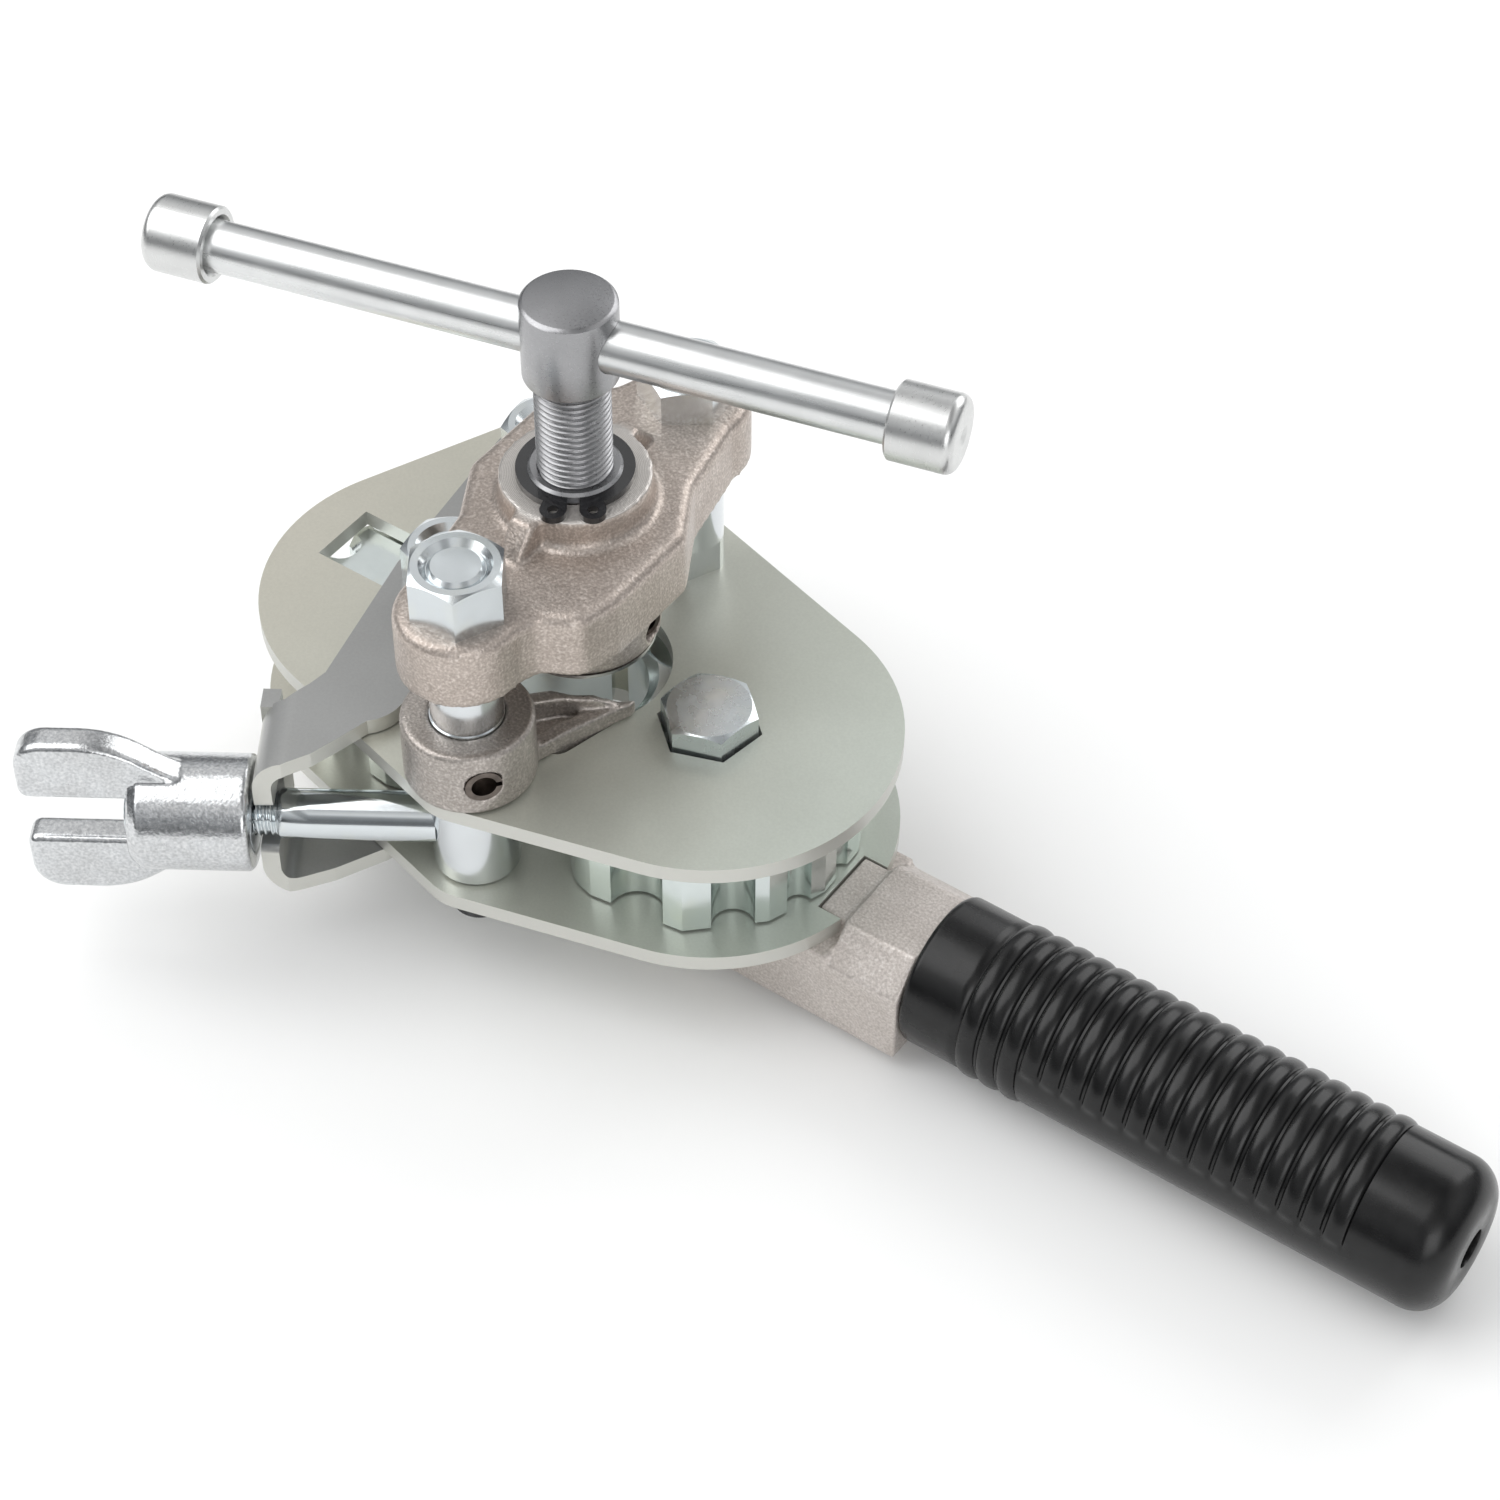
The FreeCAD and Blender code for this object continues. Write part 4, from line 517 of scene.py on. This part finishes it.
# ---------------------------------------------------------------------------
# Handle casting.  It is bolted under the lower plate, keyed into its rim, and
# carries the handle's tang.  Light blasted steel.
handle_skin = soft_casting("handle_casting", "handle_casting_skin", 0.0006, 5)
handle_skin.data.materials.append(cast_steel("handle_cast_steel", (0.60, 0.55, 0.515),
                                             (0.76, 0.72, 0.69), 0.0006, 0.45, 0.5, 0.5))
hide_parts("handle_casting")
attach(handle_skin, "frame")
dress(screw_finish, "handle_tang")

# ---------------------------------------------------------------------------
# Grip.  A moulded rubber sleeve: a smooth neck, a run of round ribs, and a
# smooth end with a hanging hole.  The first three ribs go all round; the rest
# fade into a lengthwise flat on the lower near side.
grip_low, grip_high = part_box("grip")
grip_start, length = grip_low[0], grip_high[0] - grip_low[0]
axis_z = (grip_low[2] + grip_high[2]) / 2
neck_radius, end_fillet, start_fillet, hole_radius, hole_depth = 0.0173, 0.008, 0.0015, 0.0043, 0.014
rib_first, rib_pitch, rib_count, rib_height, rib_groove = 0.0145, 0.00515, 18, 0.00105, 0.0004
flat_at, flat_half, flat_fade = math.radians(212), math.radians(38), math.radians(9)
ringed = 3                                            # ribs that go all the way round


def grip_radius(along, angle):
    """Neck radius plus, over the ribbed run, a rounded wave of one rib per pitch less a shallow groove.
    Each rib but the first three is faded out towards the flat.  Both ends are quarter rounds."""
    place = (along - rib_first) / rib_pitch
    index = np.floor(place)
    wave = np.sqrt(np.clip(1 - ((place - index - 0.5) / 0.44) ** 2, 0, 1))
    ribbed = (index >= 0) & (index < rib_count)
    from_flat = np.abs((angle - flat_at + math.pi) % (2 * math.pi) - math.pi)
    fading = np.clip((from_flat - flat_half) / flat_fade, 0, 1)
    fading = np.where(index < ringed, 1.0, fading * fading * (3 - 2 * fading))
    radius = neck_radius + np.where(ribbed, (rib_height * wave - rib_groove) * fading, 0.0)
    into_end = np.clip((along - (length - end_fillet)) / end_fillet, 0, 1)
    radius = radius - end_fillet * (1 - np.sqrt(np.clip(1 - into_end ** 2, 0, 1)))
    into_start = np.clip((start_fillet - along) / start_fillet, 0, 1)
    return radius - start_fillet * (1 - np.sqrt(1 - into_start ** 2))


rib_last = rib_first + rib_count * rib_pitch
along = np.concatenate([np.linspace(0, start_fillet, 6), np.linspace(0.0018, rib_first - 0.0003, 8),
                        np.arange(rib_first, rib_last, rib_pitch / 20),
                        np.linspace(rib_last, length - end_fillet - 0.0005, 10),
                        length - end_fillet + end_fillet * np.sin(np.linspace(0, math.pi / 2, 16))])
A, S = np.meshgrid(np.linspace(0, 2 * math.pi, 144, endpoint=False), along)
R = grip_radius(S, A)
# the bore: in over a small lip, down the hole, so the end face closes on the hole's floor
lip = np.array([(hole_radius + 0.0006, length), (hole_radius + 0.0001, length - 0.0002),
                (hole_radius, length - 0.0007), (hole_radius, length - hole_depth)])
A2, L = np.meshgrid(A[0], np.arange(len(lip)))
R, S, A = np.vstack([R, lip[L, 0]]), np.vstack([S, lip[L, 1]]), np.vstack([A, A2])


def rubber(name):
    """Moulded black rubber: a satin skin with faint dust, scuffs and mould texture."""
    mat, nodes, links, shader, coords = start_material(name, 0.0, 0.36)
    dust = noise(nodes, links, coords, 0.0035, 6.0)
    tone = ramp(nodes, links, dust, [(0.35, (0.0035, 0.0035, 0.0037)), (0.8, (0.008, 0.008, 0.0083))])
    links.new(tone, shader.inputs["Base Color"])
    shader.inputs["Specular IOR Level"].default_value = 0.4
    scuff = noise(nodes, links, coords, 0.006, 5.0, (3, 1, 1))
    links.new(ramp(nodes, links, scuff, [(0.3, (0.20,) * 3), (0.75, (0.34,) * 3)]),
              shader.inputs["Roughness"])
    add_bump(nodes, links, shader, noise(nodes, links, coords, 0.0006, 3.0), 0.25, 0.00004)
    return mat


grip = surface("grip_sleeve", grip_start + S, R * np.cos(A), axis_z + R * np.sin(A),
               rubber("grip_rubber"))
work = bmesh.new()
work.from_mesh(grip.data)
bmesh.ops.recalc_face_normals(work, faces=work.faces)
work.to_mesh(grip.data)
work.free()
keep_sharp(grip, 55)
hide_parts("grip")
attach(grip, "frame")

# ---------------------------------------------------------------------------
# Studio.  A pale floor under the tool, a white surround, three soft lamps, and
# the camera high on the handle's side.
floor_z, reach = cad_box[0][2] - 0.0002, 3
floor_mesh = bpy.data.meshes.new("floor")
corners = [(x * reach, y * reach, floor_z) for x, y in ((-1, -1), (1, -1), (1, 1), (-1, 1))]
floor_mesh.from_pydata(corners, [], [(0, 1, 2, 3)])
floor = bpy.data.objects.new("floor", floor_mesh)
bpy.context.scene.collection.objects.link(floor)
floor_mat, nodes, links, shader, coords = start_material("floor_paper", 0.0, 0.9)
shader.inputs["Base Color"].default_value = (0.93, 0.93, 0.925, 1)
shader.inputs["Specular IOR Level"].default_value = 0.1
floor_mesh.materials.append(floor_mat)

world = bpy.data.worlds.new("studio")
bpy.context.scene.world = world
world.use_nodes = True
nodes, links = world.node_tree.nodes, world.node_tree.links
background = nodes["Background"]
paths = nodes.new("ShaderNodeLightPath")
sky = nodes.new("ShaderNodeTexCoord")
split = nodes.new("ShaderNodeSeparateXYZ")
links.new(sky.outputs["Generated"], split.inputs["Vector"])
height_tone = ramp(nodes, links, split.outputs["Z"],
                   [(0.0, (0.30, 0.31, 0.32)), (0.15, (0.16, 0.165, 0.17)), (0.42, (0.50, 0.51, 0.52)),
                    (0.72, (0.86, 0.86, 0.86)), (0.95, (0.5, 0.5, 0.5))])
bands = nodes.new("ShaderNodeTexWave")
bands.bands_direction = "DIAGONAL"
bands.inputs["Scale"].default_value = 0.55
bands.inputs["Distortion"].default_value = 0.0
links.new(sky.outputs["Generated"], bands.inputs["Vector"])
band_tone = ramp(nodes, links, bands.outputs["Fac"],
                 [(0.15, (0.35, 0.36, 0.37)), (0.55, (1.0, 1.0, 1.0))])
mirrored = blend_colours(nodes, links, "MULTIPLY", 0.8, height_tone, band_tone)
seen = blend_colours(nodes, links, "MIX", paths.outputs["Is Glossy Ray"], (0.66, 0.665, 0.67), mirrored)
seen = blend_colours(nodes, links, "MIX", paths.outputs["Is Camera Ray"], seen, (1.0, 1.0, 1.0))
links.new(seen, background.inputs["Color"])
background.inputs["Strength"].default_value = 1.0


def lamp(name, place, aim, size, watts):
    """A square soft box at a place, turned to face a point."""
    data = bpy.data.lights.new(name, "AREA")
    data.shape = "SQUARE"
    data.size = size
    data.energy = watts
    obj = bpy.data.objects.new(name, data)
    obj.location = place
    obj.rotation_euler = (Vector(aim) - Vector(place)).to_track_quat("-Z", "Y").to_euler()
    bpy.context.scene.collection.objects.link(obj)


lamp("key_box", (-0.55, -0.35, 0.95), (0, 0, 0), 1.1, 8.0)
lamp("side_box", (0.95, -0.8, 0.5), (0.05, 0, 0), 0.7, 3.2)
lamp("back_box", (0.1, 1.0, 0.6), (0, 0, 0.03), 0.8, 4.0)

scene = bpy.context.scene
scene.view_settings.view_transform = "Standard"
camera_data = bpy.data.cameras.new("camera")
camera_data.sensor_width = 36.0
camera_data.lens = 84.1
camera_data.clip_start, camera_data.clip_end = 0.01, 20.0
camera = bpy.data.objects.new("camera", camera_data)
heading, tilt, roll = math.radians(34.88), math.radians(90 - 46.64), math.radians(0.37)
turn = Matrix.Rotation(heading, 4, "Z") @ Matrix.Rotation(tilt, 4, "X") @ Matrix.Rotation(roll, 4, "Z")
camera.matrix_world = Matrix.Translation((0.3392, -0.4227, 0.566)) @ turn
scene.collection.objects.link(camera)
scene.camera = camera
